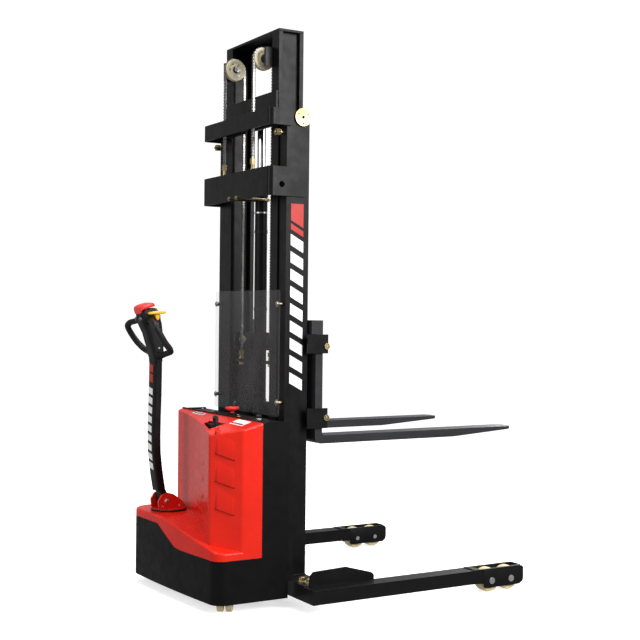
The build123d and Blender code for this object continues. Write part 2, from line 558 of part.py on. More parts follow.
def carriage_fittings():
    """Chain anchors on the carriage and the zinc screws that close the retaining rods."""
    x = SHEAVE_X + CHAIN_PITCH_R
    anchor = bar_z(x, SHEAVE_Y, (998, 1016), 7) + hexagon_z(x, SHEAVE_Y, (998, 1008), 20)
    anchor += block((x - 8, x + 8), (SHEAVE_Y - 8.5, SHEAVE_Y + 8.5), (1014, 1034))
    anchor += hexagon_z(x, SHEAVE_Y, (972, 984), 20)
    screws = Part() + [bar_y(RETAINER_X, (BAR_HALF + 8, BAR_HALF + 15), z, 13) for z in RETAINER_Z]
    return both(anchor + screws)


def fork():
    """Left fork: shank hung over the upper bar, heel bend and tapered blade."""
    top, front_x, seat_z = FORK_UNDER_Z + FORK_THICK, SHANK_X + FORK_THICK, UPPER_BAR_Z[1] + 1
    outline = [(SHANK_X, FORK_UNDER_Z), (860, FORK_UNDER_Z), (FORK_TIP_X, top - 12), (FORK_TIP_X, top)]
    outline += [(front_x, top), (front_x, 1175), (BAR_BACK_X - 2, 1175), (BAR_BACK_X - 2, seat_z)]
    outline += [(SHANK_X + 0.5, seat_z), (SHANK_X + 0.5, 700)]
    blade = side_plate(outline, (FORK_INNER_Y, FORK_INNER_Y + FORK_WIDTH))
    low = [e for e in blade.edges().filter_by(Axis.Y) if e.center().Z < 700]
    heel = [e for e in low if abs(e.center().X - SHANK_X) < 1 and e.center().Z < FORK_UNDER_Z + 1]
    blade = fillet(heel, 30)
    low = [e for e in blade.edges().filter_by(Axis.Y) if e.center().Z < 700]
    blade = fillet([e for e in low if abs(e.center().X - front_x) < 1], 14)
    tips = [e for e in blade.edges().filter_by(Axis.Z) if e.center().X > FORK_TIP_X - 1]
    return fillet(tips, 34)


# ---------------------------------------------------------------- steering, tiller and wheels
def drive_unit():
    """Turning drive head: mounting ring, gear case with wheel arm, upright traction motor."""
    ring = bar_z(STEER_X, STEER_Y, (232, 246), 78)
    case = bar_z(STEER_X, STEER_Y, (206, 232), 58)
    arm = block((STEER_X - 48, STEER_X + 48), (STEER_Y + 38, STEER_Y + 66), (DRIVE_WHEEL_R - 45, 214))
    motor = bar_z(STEER_X, STEER_Y, (246, 315), 48)
    shaft = bar_y(STEER_X, (STEER_Y - 20, STEER_Y + 38), DRIVE_WHEEL_R, 16)
    return ring + case + arm + motor + shaft


def drive_wheel():
    half = DRIVE_WHEEL_WIDTH / 2
    wheel = bar_y(STEER_X, (STEER_Y - half, STEER_Y + half), DRIVE_WHEEL_R, DRIVE_WHEEL_R)
    wheel = fillet(wheel.edges().filter_by(GeomType.CIRCLE), 6)
    wheel -= bar_y(STEER_X, (STEER_Y - half - 1, STEER_Y - half + 14), DRIVE_WHEEL_R, 72)
    return wheel - bar_y(STEER_X, (STEER_Y - 20.5, STEER_Y + 60), DRIVE_WHEEL_R, 16.05)


def tiller_base():
    """Turntable with the two red cheeks that hold the tiller pivot."""
    disc = bar_z(STEER_X, STEER_Y, (PLATEAU_Z + 1.5, PLATEAU_Z + 12), 76)
    spigot = bar_z(STEER_X, STEER_Y, (315, PLATEAU_Z + 2), 56)
    low = PLATEAU_Z + 12
    outline = [(-66, 0), (-70, 34), (-52, 62), (-28, 70), (2, 62), (40, 34), (60, 8), (60, 0)]
    cheek = side_plate([(STEER_X + x, low + z) for x, z in outline], (36, 48))
    cheek = fillet(cheek.edges().filter_by(Axis.Y).filter_by(lambda e: e.center().Z > low + 5), 9)
    cheeks = Pos(0, STEER_Y, 0) * both(cheek)
    cheeks -= bar_y(TILLER_PIVOT_X, (STEER_Y - 60, STEER_Y + 60), TILLER_PIVOT_Z, 8)
    pin = bar_y(TILLER_PIVOT_X, (STEER_Y - 52, STEER_Y + 52), TILLER_PIVOT_Z, 8)
    outline = [(6, 0), (6, 36), (34, 30), (58, 6), (58, 0)]
    hood = side_plate([(STEER_X + x, low + z) for x, z in outline], (STEER_Y - 36, STEER_Y + 36))
    return disc + spigot + cheeks + pin + hood


def tiller_arm():
    """Bowed box arm that swings between the cheeks."""
    foot, top = (TILLER_PIVOT_X - 32, TILLER_PIVOT_X + 6), (ARM_REAR_X, ARM_REAR_X + 37)
    rear = Spline((foot[0], 400), (top[0] - 4, 600), (top[0] - 2, 800), (top[0], 992))
    front = Spline((top[1], 992), (top[1] - 1, 800), (top[1] - 1, 600), (foot[1], 400))
    outline = rear + Line((top[0], 992), (top[1], 992)) + front + Line((foot[1], 400), (foot[0], 400))
    arm = Pos(0, STEER_Y - 38, 0) * extrude(Plane.XZ * make_face(outline), 76, dir=(0, 1, 0))
    arm = fillet(arm.edges().filter_by(lambda e: abs(e.center().Y - STEER_Y) > 30 and e.length > 100), 7)
    arm -= block((-500, 0), (STEER_Y - 60, STEER_Y - 31), (0, 417))
    arm -= block((-500, 0), (STEER_Y + 31, STEER_Y + 60), (0, 417))
    eye = bar_y(TILLER_PIVOT_X, (STEER_Y - 31, STEER_Y + 31), TILLER_PIVOT_Z, 20)
    neck_x = (TILLER_PIVOT_X - 20, TILLER_PIVOT_X + 6)
    neck = block(neck_x, (STEER_Y - 31, STEER_Y + 31), (TILLER_PIVOT_Z, 404))
    return arm + eye + neck - bar_y(TILLER_PIVOT_X, (STEER_Y - 60, STEER_Y + 60), TILLER_PIVOT_Z, 8.05)


def tiller_head():
    """Head of the tiller: body bored for the thumb lever's shaft, and two closed hand loops."""
    x = ARM_REAR_X
    outline = [(2, 993), (36, 993), (44, 1050), (40, 1110), (22, 1165), (-2, 1222), (-66, 1205), (-62, 1150)]
    outline += [(-34, 1080), (-10, 1030)]
    body = side_plate([(x + dx, z) for dx, z in outline], (STEER_Y - 42, STEER_Y + 42))
    body = fillet(body.edges().filter_by(Axis.Y), 7)
    body = fillet(body.edges().filter_by(lambda e: abs(abs(e.center().Y - STEER_Y) - 42) < 0.5), 6)
    corners = [(x - 24, 20, 1172), (x - 50, 168, 1150), (x + 30, 156, 1032), (x + 22, 20, 1012)]
    path = FilletPolyline(*corners, radius=26)
    loop = sweep(Plane(path @ 0, z_dir=path % 0) * Circle(14), path=path)
    body += Pos(0, STEER_Y, 0) * both(loop)
    head = body - bar_y(THROTTLE_X, (STEER_Y - 60, STEER_Y + 60), THROTTLE_Z, 4.06)
    head -= cap_frame() * Cylinder(10.1, 60)
    for dy in BUTTON_DY:
        head -= bar_x((x - 80, x - 48), STEER_Y + dy, BUTTON_Z, BUTTON_R + 0.3)
    return head


def cap_frame():
    """Frame on the slanted top of the head, Z square to it."""
    return Pos(ARM_REAR_X - 34, STEER_Y, 1213.5) * Rot(0, -CAP_TILT, 0)


def belly_button():
    """Red safety cap on a short stem."""
    cap = Pos(0, 0, 15.5) * Box(72, 92, 22)
    cap = fillet(cap.edges().filter_by(Axis.Z), 12)
    cap = fillet(cap.edges().group_by(Axis.Z)[-1], 9)
    return cap_frame() * (cap + Pos(0, 0, -4) * Cylinder(10, 26))


def throttle():
    """Yellow butterfly lever: a thumb paddle on each side of the head, on one shaft through it."""
    hub = bar_y(THROTTLE_X, (43, 52), THROTTLE_Z, 11)
    stem = block((THROTTLE_X - 9, THROTTLE_X + 9), (43, 56), (THROTTLE_Z - 19, THROTTLE_Z + 12))
    wing = block((THROTTLE_X - 42, THROTTLE_X + 34), (47, 74), (THROTTLE_Z + 5, THROTTLE_Z + 19))
    wing = fillet(wing.edges().filter_by(Axis.Z), 8)
    lever = both(hub + stem + wing) + bar_y(THROTTLE_X, (-50, 50), THROTTLE_Z, 4)
    return Pos(0, STEER_Y, 0) * lever


def head_button(dy):
    button = bar_x((ARM_REAR_X - 70, ARM_REAR_X - 54), STEER_Y + dy, BUTTON_Z, BUTTON_R)
    return chamfer(button.edges().filter_by(GeomType.CIRCLE).sort_by(Axis.X)[0], 1.5)


def castor_place():
    return Pos(CASTOR_X, CASTOR_Y, 0) * Rot(0, 0, CASTOR_TURN)


def castor_fork():
    """Swivel stem, top plate and single centre leg of the twin castor."""
    stem = bar_z(0, 0, (140, 176), 11.95) + bar_z(0, 0, (BASE_TOP + 0.5, 172), 20)
    stem += bar_z(0, 0, (136, BASE_LOW - 0.5), 42)
    outline = [(-26, 136), (26, 136), (CASTOR_TRAIL + 14, 60)]
    outline += [(CASTOR_TRAIL + 8, 38), (CASTOR_TRAIL - 10, 38)]
    stem += side_plate(outline, (-3, 3))
    stem += bar_y(CASTOR_TRAIL, (-33, 33), CASTOR_WHEEL_R, 7)
    return castor_place() * stem


def castor_wheels():
    """Twin castor wheels on one axle line."""
    wheel = bar_y(CASTOR_TRAIL, (4, 32), CASTOR_WHEEL_R, CASTOR_WHEEL_R)
    wheel = fillet(wheel.edges().filter_by(GeomType.CIRCLE), 4)
    wheel -= bar_y(CASTOR_TRAIL, (0, 40), CASTOR_WHEEL_R, 7.05)
    return castor_place() * both(wheel)


def battery_connector():
    """Charging and emergency plug in the cut-out at the tower's rear corner."""
    shelf = block((-262, -110), (-182, -130), (672, 678)) + block((-262, -224), (-131, -108), (672, 678))
    shelf += block((-116, -110), (-182, -130), (BASE_TOP + 405, 672))
    shelf += block((-116, -50), (-182, -130), (BASE_TOP + 400, BASE_TOP + 405))
    plug = block((-256, -226), (-178, -112), (678, 716))
    plug = fillet(plug.edges().filter_by(Axis.Z), 6)
    handle = block((-253, -231), (-168, -160), (716, 728)) + block((-253, -231), (-130, -122), (716, 728))
    handle += block((-253, -231), (-168, -122), (728, 736))
    return shelf + plug + handle


NODES = {
    "chassis_frame": chassis_frame,
    "base_plate": base_plate,
    "body_cover": body_cover,
    "top_tray": top_tray,
    "battery": battery,
    "power_pack": power_pack,
    "controller": controller,
    "battery_connector": battery_connector,
    "estop_body": estop_body,
    "estop_knob": estop_knob,
    "key_switch": key_switch,
    "key": key,
    "outer_channel_left": outer_channel,
    "outer_channel_right": lambda: right_of(outer_channel()),
    "lower_bracket": lower_bracket,
    "upper_bracket": upper_bracket,
    "mast_base": mast_base,
    "lift_cylinder": lift_cylinder,
    "mast_guard": mast_guard,
    "frame_bolts": frame_bolts,
    "roller_flanges": roller_flanges,
    "chain_anchors": chain_anchors,
    "leg_left": leg,
    "leg_right": lambda: right_of(leg()),
    "wheel_axles": wheel_axles,
    "load_wheel_rear_left": lambda: load_wheel(LOAD_WHEEL_X[0]),
    "load_wheel_rear_right": lambda: right_of(load_wheel(LOAD_WHEEL_X[0])),
    "load_wheel_front_left": lambda: load_wheel(LOAD_WHEEL_X[1]),
    "load_wheel_front_right": lambda: right_of(load_wheel(LOAD_WHEEL_X[1])),
    "inner_channel_left": inner_channel,
    "inner_channel_right": lambda: right_of(inner_channel()),
    "inner_top_plate": inner_top_plate,
    "crosshead": crosshead,
    "inner_lower_tie": inner_lower_tie,
    "piston_rod": piston_rod,
    "sheave_axles": sheave_axles,
    "sheave_left": sheave,
    "sheave_right": lambda: right_of(sheave()),
    "chain_wraps": chain_wraps,
    "chain_strands_rear": lambda: chain_strand(-CHAIN_PITCH_R, (1860.5, SHEAVE_Z)),
    "chain_strands_front": lambda: chain_strand(CHAIN_PITCH_R, (1034.5, SHEAVE_Z)),
    "mast_rollers_top": lambda: roller(234, TOP_ROLLER_Z),
    "mast_rollers_low": lambda: roller(262, LOW_ROLLER_Z),
    "carriage_rollers_high": lambda: roller(193, CARRIAGE_ROLLER_HIGH_Z),
    "carriage_rollers_low": lambda: roller(193, CARRIAGE_ROLLER_LOW_Z),
    "carriage_frame": carriage_frame,
    "carriage_fittings": carriage_fittings,
    "fork_left": fork,
    "fork_right": lambda: right_of(fork()),
    "drive_unit": drive_unit,
    "drive_wheel": drive_wheel,
    "tiller_base": tiller_base,
    "tiller_arm": tiller_arm,
    "tiller_head": tiller_head,
    "belly_button": belly_button,
    "throttle": throttle,
    "lift_button": lambda: head_button(BUTTON_DY[0]),
    "lower_button": lambda: head_button(BUTTON_DY[1]),
    "castor_fork": castor_fork,
    "castor_wheels": castor_wheels,
}


if __name__ == "__main__":
    os.makedirs("parts", exist_ok=True)
    for name, maker in NODES.items():
        export_step(Pos(-MIDDLE_X, 0, 0) * maker(), f"parts/{name}.step")
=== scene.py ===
import math

import bmesh
import bpy
from mathutils import Matrix, Vector


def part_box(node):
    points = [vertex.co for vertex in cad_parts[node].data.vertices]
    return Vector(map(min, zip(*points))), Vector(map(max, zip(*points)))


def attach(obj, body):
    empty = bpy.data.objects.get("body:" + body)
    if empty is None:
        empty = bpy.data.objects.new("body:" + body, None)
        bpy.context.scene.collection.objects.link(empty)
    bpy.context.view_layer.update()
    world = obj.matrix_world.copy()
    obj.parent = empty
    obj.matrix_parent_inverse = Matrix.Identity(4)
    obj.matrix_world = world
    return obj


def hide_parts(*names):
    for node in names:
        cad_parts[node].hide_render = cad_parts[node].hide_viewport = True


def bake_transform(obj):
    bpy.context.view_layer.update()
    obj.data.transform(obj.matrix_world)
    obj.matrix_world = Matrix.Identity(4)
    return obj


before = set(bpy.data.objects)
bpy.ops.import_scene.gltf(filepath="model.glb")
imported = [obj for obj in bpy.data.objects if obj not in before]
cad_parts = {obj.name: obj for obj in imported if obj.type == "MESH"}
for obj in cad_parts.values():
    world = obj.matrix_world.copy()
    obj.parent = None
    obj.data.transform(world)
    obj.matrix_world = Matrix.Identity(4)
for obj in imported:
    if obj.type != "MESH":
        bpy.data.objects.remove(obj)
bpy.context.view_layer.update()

# Truck millimetres: X = 0 at the rear face of the fixed mast, Y = 0 on the centre line, Z = 0 on the floor.
FORK_TIP_X = 1.197
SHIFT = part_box("fork_left")[1].x - FORK_TIP_X
TO_ROW = Matrix.Translation((SHIFT, 0, 0)) @ Matrix.Scale(0.001, 4)


# ---------------------------------------------------------------- materials
class Graph:
    """A material's node tree, with short calls for the nodes used here."""

    def __init__(self, name):
        self.material = bpy.data.materials.new(name)
        self.material.use_nodes = True
        self.nodes = self.material.node_tree.nodes
        self.links = self.material.node_tree.links
        self.shader = self.nodes["Principled BSDF"]
        self.place = self.nodes.new("ShaderNodeTexCoord").outputs["Object"]

    def noise(self, scale, detail=3.0, stretch=(1, 1, 1)):
        mapping = self.nodes.new("ShaderNodeMapping")
        mapping.inputs["Scale"].default_value = stretch
        self.links.new(self.place, mapping.inputs["Vector"])
        node = self.nodes.new("ShaderNodeTexNoise")
        node.inputs["Scale"].default_value = scale
        node.inputs["Detail"].default_value = detail
        self.links.new(mapping.outputs["Vector"], node.inputs["Vector"])
        return node.outputs["Fac"]

    def remap(self, value, from_low, from_high, low, high):
        node = self.nodes.new("ShaderNodeMapRange")
        for socket, number in zip(("From Min", "From Max", "To Min", "To Max"),
                                  (from_low, from_high, low, high)):
            node.inputs[socket].default_value = number
        self.links.new(value, node.inputs["Value"])
        return node.outputs["Result"]

    def multiply(self, a, b):
        node = self.nodes.new("ShaderNodeMath")
        node.operation = "MULTIPLY"
        self.links.new(a, node.inputs[0])
        self.links.new(b, node.inputs[1])
        return node.outputs["Value"]

    def mix(self, factor, a, b):
        node = self.nodes.new("ShaderNodeMix")
        node.data_type = "RGBA"
        self.links.new(factor, node.inputs["Factor"])
        for socket, value in ((node.inputs[6], a), (node.inputs[7], b)):
            if isinstance(value, tuple):
                socket.default_value = (*value, 1)
            else:
                self.links.new(value, socket)
        return node.outputs[2]

    def rounded(self, radius):
        node = self.nodes.new("ShaderNodeBevel")
        node.samples = 4
        node.inputs["Radius"].default_value = radius
        return node.outputs["Normal"]

    def edges(self, radius, low, high):
        """Near 1 on worn outer edges and corners, 0 on open faces."""
        bevel = self.rounded(radius)
        true = self.nodes.new("ShaderNodeNewGeometry").outputs["Normal"]
        dot = self.nodes.new("ShaderNodeVectorMath")
        dot.operation = "DOT_PRODUCT"
        self.links.new(bevel, dot.inputs[0])
        self.links.new(true, dot.inputs[1])
        return self.remap(dot.outputs["Value"], high, low, 0, 1)

    def bump(self, height, strength, distance, normal=None):
        node = self.nodes.new("ShaderNodeBump")
        node.inputs["Strength"].default_value = strength
        node.inputs["Distance"].default_value = distance
        self.links.new(height, node.inputs["Height"])
        if normal:
            self.links.new(normal, node.inputs["Normal"])
        self.links.new(node.outputs["Normal"], self.shader.inputs["Normal"])

    def set(self, socket, value):
        self.shader.inputs[socket].default_value = value


def shade(color, factor):
    return tuple(min(1.0, c * factor) for c in color)


def surface(name, color, rough, metallic=0.0, coat=0.0, grain=700.0, bump=0.08, depth=0.0004, vary=0.18,
            wear=None, amount=0.5, round_edges=0.0012, stretch=(1, 1, 1), spread=0.08, specular=0.3):
    """A finish with cloudy colour, uneven gloss, fine grain, softened edges and, if asked, worn edges."""
    g = Graph(name)
    cloud = g.noise(9.0, 5.0, stretch)
    fine = g.noise(grain, 2.0, stretch)
    tint = g.mix(g.remap(cloud, 0.3, 0.7, 0, 1), shade(color, 1 - vary), shade(color, 1 + vary))
    if wear:
        patches = g.remap(g.noise(60.0, 4.0), 0.42, 0.6, 0, amount)
        tint = g.mix(g.multiply(g.edges(0.0022, 0.75, 0.97), patches), tint, wear)
    g.links.new(tint, g.shader.inputs["Base Color"])
    gloss = g.remap(g.noise(23.0, 4.0, stretch), 0.3, 0.7, rough - spread, rough + spread)
    g.links.new(gloss, g.shader.inputs["Roughness"])
    g.bump(fine, bump, depth, g.rounded(round_edges) if round_edges else None)
    g.set("Metallic", metallic)
    g.set("Coat Weight", coat)
    g.set("Coat Roughness", 0.08)
    g.set("Specular IOR Level", specular)
    g.material.diffuse_color = (*color, 1)
    return g.material


black_paint = surface("black_powder_coat", (0.005, 0.005, 0.0053), 0.38, specular=0.12, grain=420, bump=0.1,
                      wear=(0.06, 0.06, 0.06), amount=0.3)
mast_paint = surface("mast_enamel", (0.0045, 0.0045, 0.0048), 0.36, specular=0.14, grain=300, bump=0.03,
                     wear=(0.07, 0.07, 0.07), amount=0.4)
skirt_black = surface("skirt_textured_black", (0.0035, 0.0035, 0.004), 0.45, specular=0.1, grain=900,
                      bump=0.22, depth=0.0005)
red_gloss = surface("red_moulding", (0.70, 0.018, 0.008), 0.29, coat=0.08, specular=0.16, grain=120,
                    bump=0.015, vary=0.07, spread=0.04, round_edges=0.003)
red_metal = surface("red_casting", (0.66, 0.016, 0.009), 0.26, coat=0.25, grain=420, bump=0.12, vary=0.1,
                    wear=(0.2, 0.02, 0.01), amount=0.4)
red_cap = surface("red_cap_moulding", (0.78, 0.035, 0.03), 0.33, grain=900, bump=0.1, vary=0.06,
                  round_edges=0.002)
yellow = surface("yellow_moulding", (0.92, 0.46, 0.015), 0.33, grain=800, bump=0.1, vary=0.06)
yellow_band = surface("yellow_band", (0.8, 0.45, 0.02), 0.4, grain=800, bump=0.1, vary=0.08)
black_plastic = surface("black_plastic", (0.006, 0.006, 0.0065), 0.46, specular=0.18, grain=1100, bump=0.25,
                        depth=0.0003)
grip_rubber = surface("grip_rubber", (0.008, 0.008, 0.0085), 0.5, grain=1500, bump=0.35, depth=0.0003,
                      vary=0.25)
grey_plastic = surface("grey_plastic", (0.075, 0.078, 0.085), 0.42, grain=1000, bump=0.2, vary=0.12)
fork_steel = surface("fork_satin_black", (0.02, 0.02, 0.022), 0.40, metallic=0.1, grain=200, bump=0.2,
                     depth=0.0004, vary=0.35, wear=(0.16, 0.16, 0.165), amount=0.7, stretch=(0.25, 1, 1))
zinc = surface("yellow_zinc", (0.37, 0.29, 0.15), 0.36, metallic=1.0, grain=900, bump=0.12, vary=0.3,
               wear=(0.46, 0.42, 0.32), amount=0.5, round_edges=0.0007)
bright_zinc = surface("bright_zinc", (0.48, 0.48, 0.49), 0.32, metallic=1.0, grain=900, bump=0.1, vary=0.15,
                      round_edges=0.0007)
chrome = surface("chromed_rod", (0.72, 0.72, 0.74), 0.10, metallic=1.0, grain=300, bump=0.01, vary=0.05,
                 round_edges=0, stretch=(1, 1, 4), spread=0.03)
machined = surface("machined_steel", (0.42, 0.42, 0.43), 0.32, metallic=1.0, grain=700, bump=0.12, vary=0.2,
                   stretch=(1, 1, 0.2), round_edges=0.0008)
chain_steel = surface("oiled_chain", (0.30, 0.295, 0.285), 0.34, metallic=0.9, grain=500, bump=0.15, vary=0.4,
                      round_edges=0)
cream_pu = surface("cream_polyurethane", (0.70, 0.58, 0.33), 0.36, grain=500, bump=0.12, vary=0.12,
                   wear=(0.30, 0.24, 0.14), amount=0.5, round_edges=0.002)
sheave_cream = surface("cream_nylon", (0.74, 0.66, 0.46), 0.38, grain=700, bump=0.1, vary=0.1,
                       round_edges=0.001)
tyre_black = surface("black_tyre", (0.018, 0.018, 0.018), 0.62, grain=350, bump=0.35, depth=0.0008, vary=0.3)
cast = surface("grey_casting", (0.05, 0.05, 0.053), 0.5, grain=260, bump=0.45, depth=0.0008, vary=0.3)
alloy = surface("controller_alloy", (0.5, 0.5, 0.52), 0.42, metallic=1.0, grain=500, bump=0.2)
decal_white = surface("white_film", (0.90, 0.90, 0.90), 0.35, grain=600, bump=0.03, vary=0.04, round_edges=0)
decal_red = surface("red_film", (0.44, 0.013, 0.008), 0.35, grain=600, bump=0.03, vary=0.05, round_edges=0)
# near-black material for thin tubes laid in joint gaps and under ledges: painted shade, not a colour of the
# truck
seam_painted_shade = surface("seam_shadow", (0.006, 0.004, 0.004), 0.7, grain=500, bump=0.1, round_edges=0)
cable_black = surface("hose_rubber", (0.012, 0.012, 0.012), 0.42, grain=900, bump=0.3, depth=0.0003)


def clear_sheet():
    """Smoke-clear polycarbonate with faint wiping marks."""
    g = Graph("clear_guard_sheet")
    haze = g.remap(g.noise(5.0, 4.0), 0.3, 0.7, 0.09, 0.13)
    g.links.new(haze, g.shader.inputs["Alpha"])
    tint = g.mix(g.noise(14.0, 3.0, (1, 1, 0.2)), (0.20, 0.20, 0.21), (0.27, 0.27, 0.28))
    g.links.new(tint, g.shader.inputs["Base Color"])
    g.links.new(g.remap(g.noise(40.0, 5.0, (1, 1, 0.15)), 0.3, 0.7, 0.05, 0.16), g.shader.inputs["Roughness"])
    g.bump(g.noise(7.0, 2.0), 0.03, 0.0002)
    g.set("Specular IOR Level", 0.2)
    g.material.diffuse_color = (0.5, 0.5, 0.5, 0.3)
    return g.material


guard_clear = clear_sheet()


def floor_paper():
    g = Graph("pale_floor")
    tint = g.mix(g.noise(1.5, 4.0), (0.80, 0.80, 0.80), (0.83, 0.83, 0.83))
    g.links.new(tint, g.shader.inputs["Base Color"])
    g.links.new(g.remap(g.noise(4.0, 3.0), 0.3, 0.7, 0.5, 0.62), g.shader.inputs["Roughness"])
    g.set("Specular IOR Level", 0.1)
    g.set("Emission Color", (1, 1, 1, 1))
    g.set("Emission Strength", 0.64)
    return g.material


NODE_MATERIALS = {
    black_paint: "mast_base leg_left leg_right carriage_frame lift_cylinder castor_fork base_plate",
    mast_paint: "sheave_axles outer_channel_left outer_channel_right inner_channel_left inner_channel_right "
                "inner_top_plate crosshead inner_lower_tie lower_bracket upper_bracket",
    skirt_black: "chassis_frame",
    red_gloss: "body_cover",
    red_metal: "tiller_base",
    black_plastic: "top_tray battery battery_connector estop_body",
    grey_plastic: "lift_button lower_button",
    fork_steel: "fork_left fork_right",
    zinc: "frame_bolts roller_flanges chain_anchors carriage_fittings",
    bright_zinc: "wheel_axles key key_switch",
    machined: "mast_rollers_top mast_rollers_low carriage_rollers_high carriage_rollers_low",
    chrome: "piston_rod",
    tyre_black: "drive_wheel",
    cast: "power_pack drive_unit",
    alloy: "controller",
    guard_clear: "mast_guard",
}
for material, names in NODE_MATERIALS.items():
    for name in names.split():
        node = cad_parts[name]
        for slot in node.material_slots:
            slot.material = material


# ---------------------------------------------------------------- mesh helpers, all in truck millimetres
def finish_piece(bm, name, material, body, angle=35.0, replaces=()):
    """Makes the mesh an object, smooth but for edges sharper than angle, on its body."""
    bmesh.ops.recalc_face_normals(bm, faces=bm.faces)
    mesh = bpy.data.meshes.new(name)
    bm.to_mesh(mesh)
    bm.free()
    mesh.transform(TO_ROW)
    for polygon in mesh.polygons:
        polygon.use_smooth = True
    mesh.set_sharp_from_angle(angle=math.radians(angle))
    piece = bpy.data.objects.new(name, mesh)
    bpy.context.scene.collection.objects.link(piece)
    mesh.materials.append(material)
    if body:
        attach(piece, body)
    if replaces:
        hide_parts(*replaces)
    return piece


def add_box(bm, x, y, z, bevel=0.0):
    """Box between (low, high) pairs, with rounded edges."""
    middle = Vector([(a + b) / 2 for a, b in (x, y, z)])
    size = [b - a for a, b in (x, y, z)]
    matrix = Matrix.Translation(middle) @ Matrix.Diagonal((*size, 1))
    made = bmesh.ops.create_cube(bm, size=1, matrix=matrix)
    if bevel:
        edges = list({e for v in made["verts"] for e in v.link_edges})
        bmesh.ops.bevel(bm, geom=edges, offset=bevel, segments=2, affect="EDGES", profile=0.5)


def frame_along(axis):
    """Two directions square to axis."""
    axis = Vector(axis).normalized()
    side = axis.cross(Vector((0, 0, 1)))
    if side.length < 0.1:
        side = axis.cross(Vector((1, 0, 0)))
    side.normalize()
    return side, axis.cross(side)


def add_lathe(bm, profile, origin, axis, segments=48, teeth=None):
    """(along, radius) points turned about an axis; radius 0 closes an end, teeth scales it by angle."""
    origin, axis = Vector(origin), Vector(axis).normalized()
    side, up = frame_along(axis)
    rings = []
    for along, radius in profile:
        base = origin + axis * along
        if radius <= 0:
            rings.append([bm.verts.new(base)])
            continue
        ring = []
        for i in range(segments):
            a = 2 * math.pi * i / segments
            r = radius * (teeth(a) if teeth else 1)
            ring.append(bm.verts.new(base + (side * math.cos(a) + up * math.sin(a)) * r))
        rings.append(ring)
    for first, second in zip(rings, rings[1:]):
        for i in range(segments):
            j = (i + 1) % segments
            corners = [first[i % len(first)], first[j % len(first)], second[j % len(second)],
                       second[i % len(second)]]
            unique = list(dict.fromkeys(corners))
            if len(unique) > 2:
                bm.faces.new(unique)
    for ring in (rings[0], rings[-1]):
        if len(ring) > 2:
            bm.faces.new(ring)


def add_ring_lathe(bm, profile, origin, axis, segments=48):
    """A closed (along, radius) outline turned about an axis, with an open bore."""
    origin, axis = Vector(origin), Vector(axis).normalized()
    side, up = frame_along(axis)
    rings = []
    for i in range(segments):
        a = 2 * math.pi * i / segments
        out = side * math.cos(a) + up * math.sin(a)
        rings.append([bm.verts.new(origin + axis * t + out * r) for t, r in profile])
    for i, ring in enumerate(rings):
        after = rings[(i + 1) % segments]
        for j in range(len(profile)):
            k = (j + 1) % len(profile)
            bm.faces.new([ring[j], ring[k], after[k], after[j]])


def smooth_path(points, steps=8):
    """Catmull-Rom points through a route."""
    pts = [Vector(p) for p in points]
    pts = [pts[0] * 2 - pts[1]] + pts + [pts[-1] * 2 - pts[-2]]
    made = []
    for a, b, c, d in zip(pts, pts[1:], pts[2:], pts[3:]):
        for i in range(steps):
            t = i / steps
            made.append(0.5 * ((2 * b) + (c - a) * t + (2 * a - 5 * b + 4 * c - d) * t * t
                               + (3 * b - a - 3 * c + d) * t ** 3))
    return made + [pts[-2]]


def add_tube(bm, points, radius, segments=16):
    """Tube along a route; radius may be a call of the 0 to 1 place along it."""
    side = None
    rings = []
    for i, p in enumerate(points):
        ahead = points[min(i + 1, len(points) - 1)] - points[max(i - 1, 0)]
        ahead.normalize()
        if side is None:
            side = frame_along(ahead)[0]
        side = (side - ahead * side.dot(ahead)).normalized()
        up = ahead.cross(side)
        r = radius(i / (len(points) - 1)) if callable(radius) else radius
        ring = []
        for k in range(segments):
            a = 2 * math.pi * k / segments
            ring.append(bm.verts.new(p + side * math.cos(a) * r + up * math.sin(a) * r))
        rings.append(ring)
    for first, second in zip(rings, rings[1:]):
        for i in range(segments):
            j = (i + 1) % segments
            bm.faces.new([first[i], first[j], second[j], second[i]])
    bm.faces.new(rings[0])
    bm.faces.new(list(reversed(rings[-1])))


def add_loft(bm, sections):
    """Skin over rings of the same number of points, with closed ends."""
    rings = [[bm.verts.new(p) for p in section] for section in sections]
    count = len(rings[0])
    for first, second in zip(rings, rings[1:]):
        for i in range(count):
            j = (i + 1) % count
            bm.faces.new([first[i], first[j], second[j], second[i]])
    bm.faces.new(rings[0])
    bm.faces.new(list(reversed(rings[-1])))


def add_prism(bm, outline, offset, bevel=0.0):
    """Flat outline of 3-D points pushed along offset."""
    base = [bm.verts.new(Vector(p)) for p in outline]
    top = [bm.verts.new(Vector(p) + Vector(offset)) for p in outline]
    faces = [bm.faces.new(base), bm.faces.new(list(reversed(top)))]
    for i in range(len(base)):
        j = (i + 1) % len(base)
        faces.append(bm.faces.new([base[j], base[i], top[i], top[j]]))
    if bevel:
        edges = list({e for f in faces for e in f.edges})
        bmesh.ops.bevel(bm, geom=edges, offset=bevel, segments=2, affect="EDGES", profile=0.5)


def rounded_section(middle, across, along, half_across, half_along, power=4.0, count=28):
    """Superellipse ring about middle in the plane of two directions."""
    middle, across, along = Vector(middle), Vector(across), Vector(along)
    ring = []
    for i in range(count):
        a = 2 * math.pi * i / count
        c, s = math.cos(a), math.sin(a)
        u = math.copysign(abs(c) ** (2 / power), c) * half_across
        v = math.copysign(abs(s) ** (2 / power), s) * half_along
        ring.append(middle + across * u + along * v)
    return ring


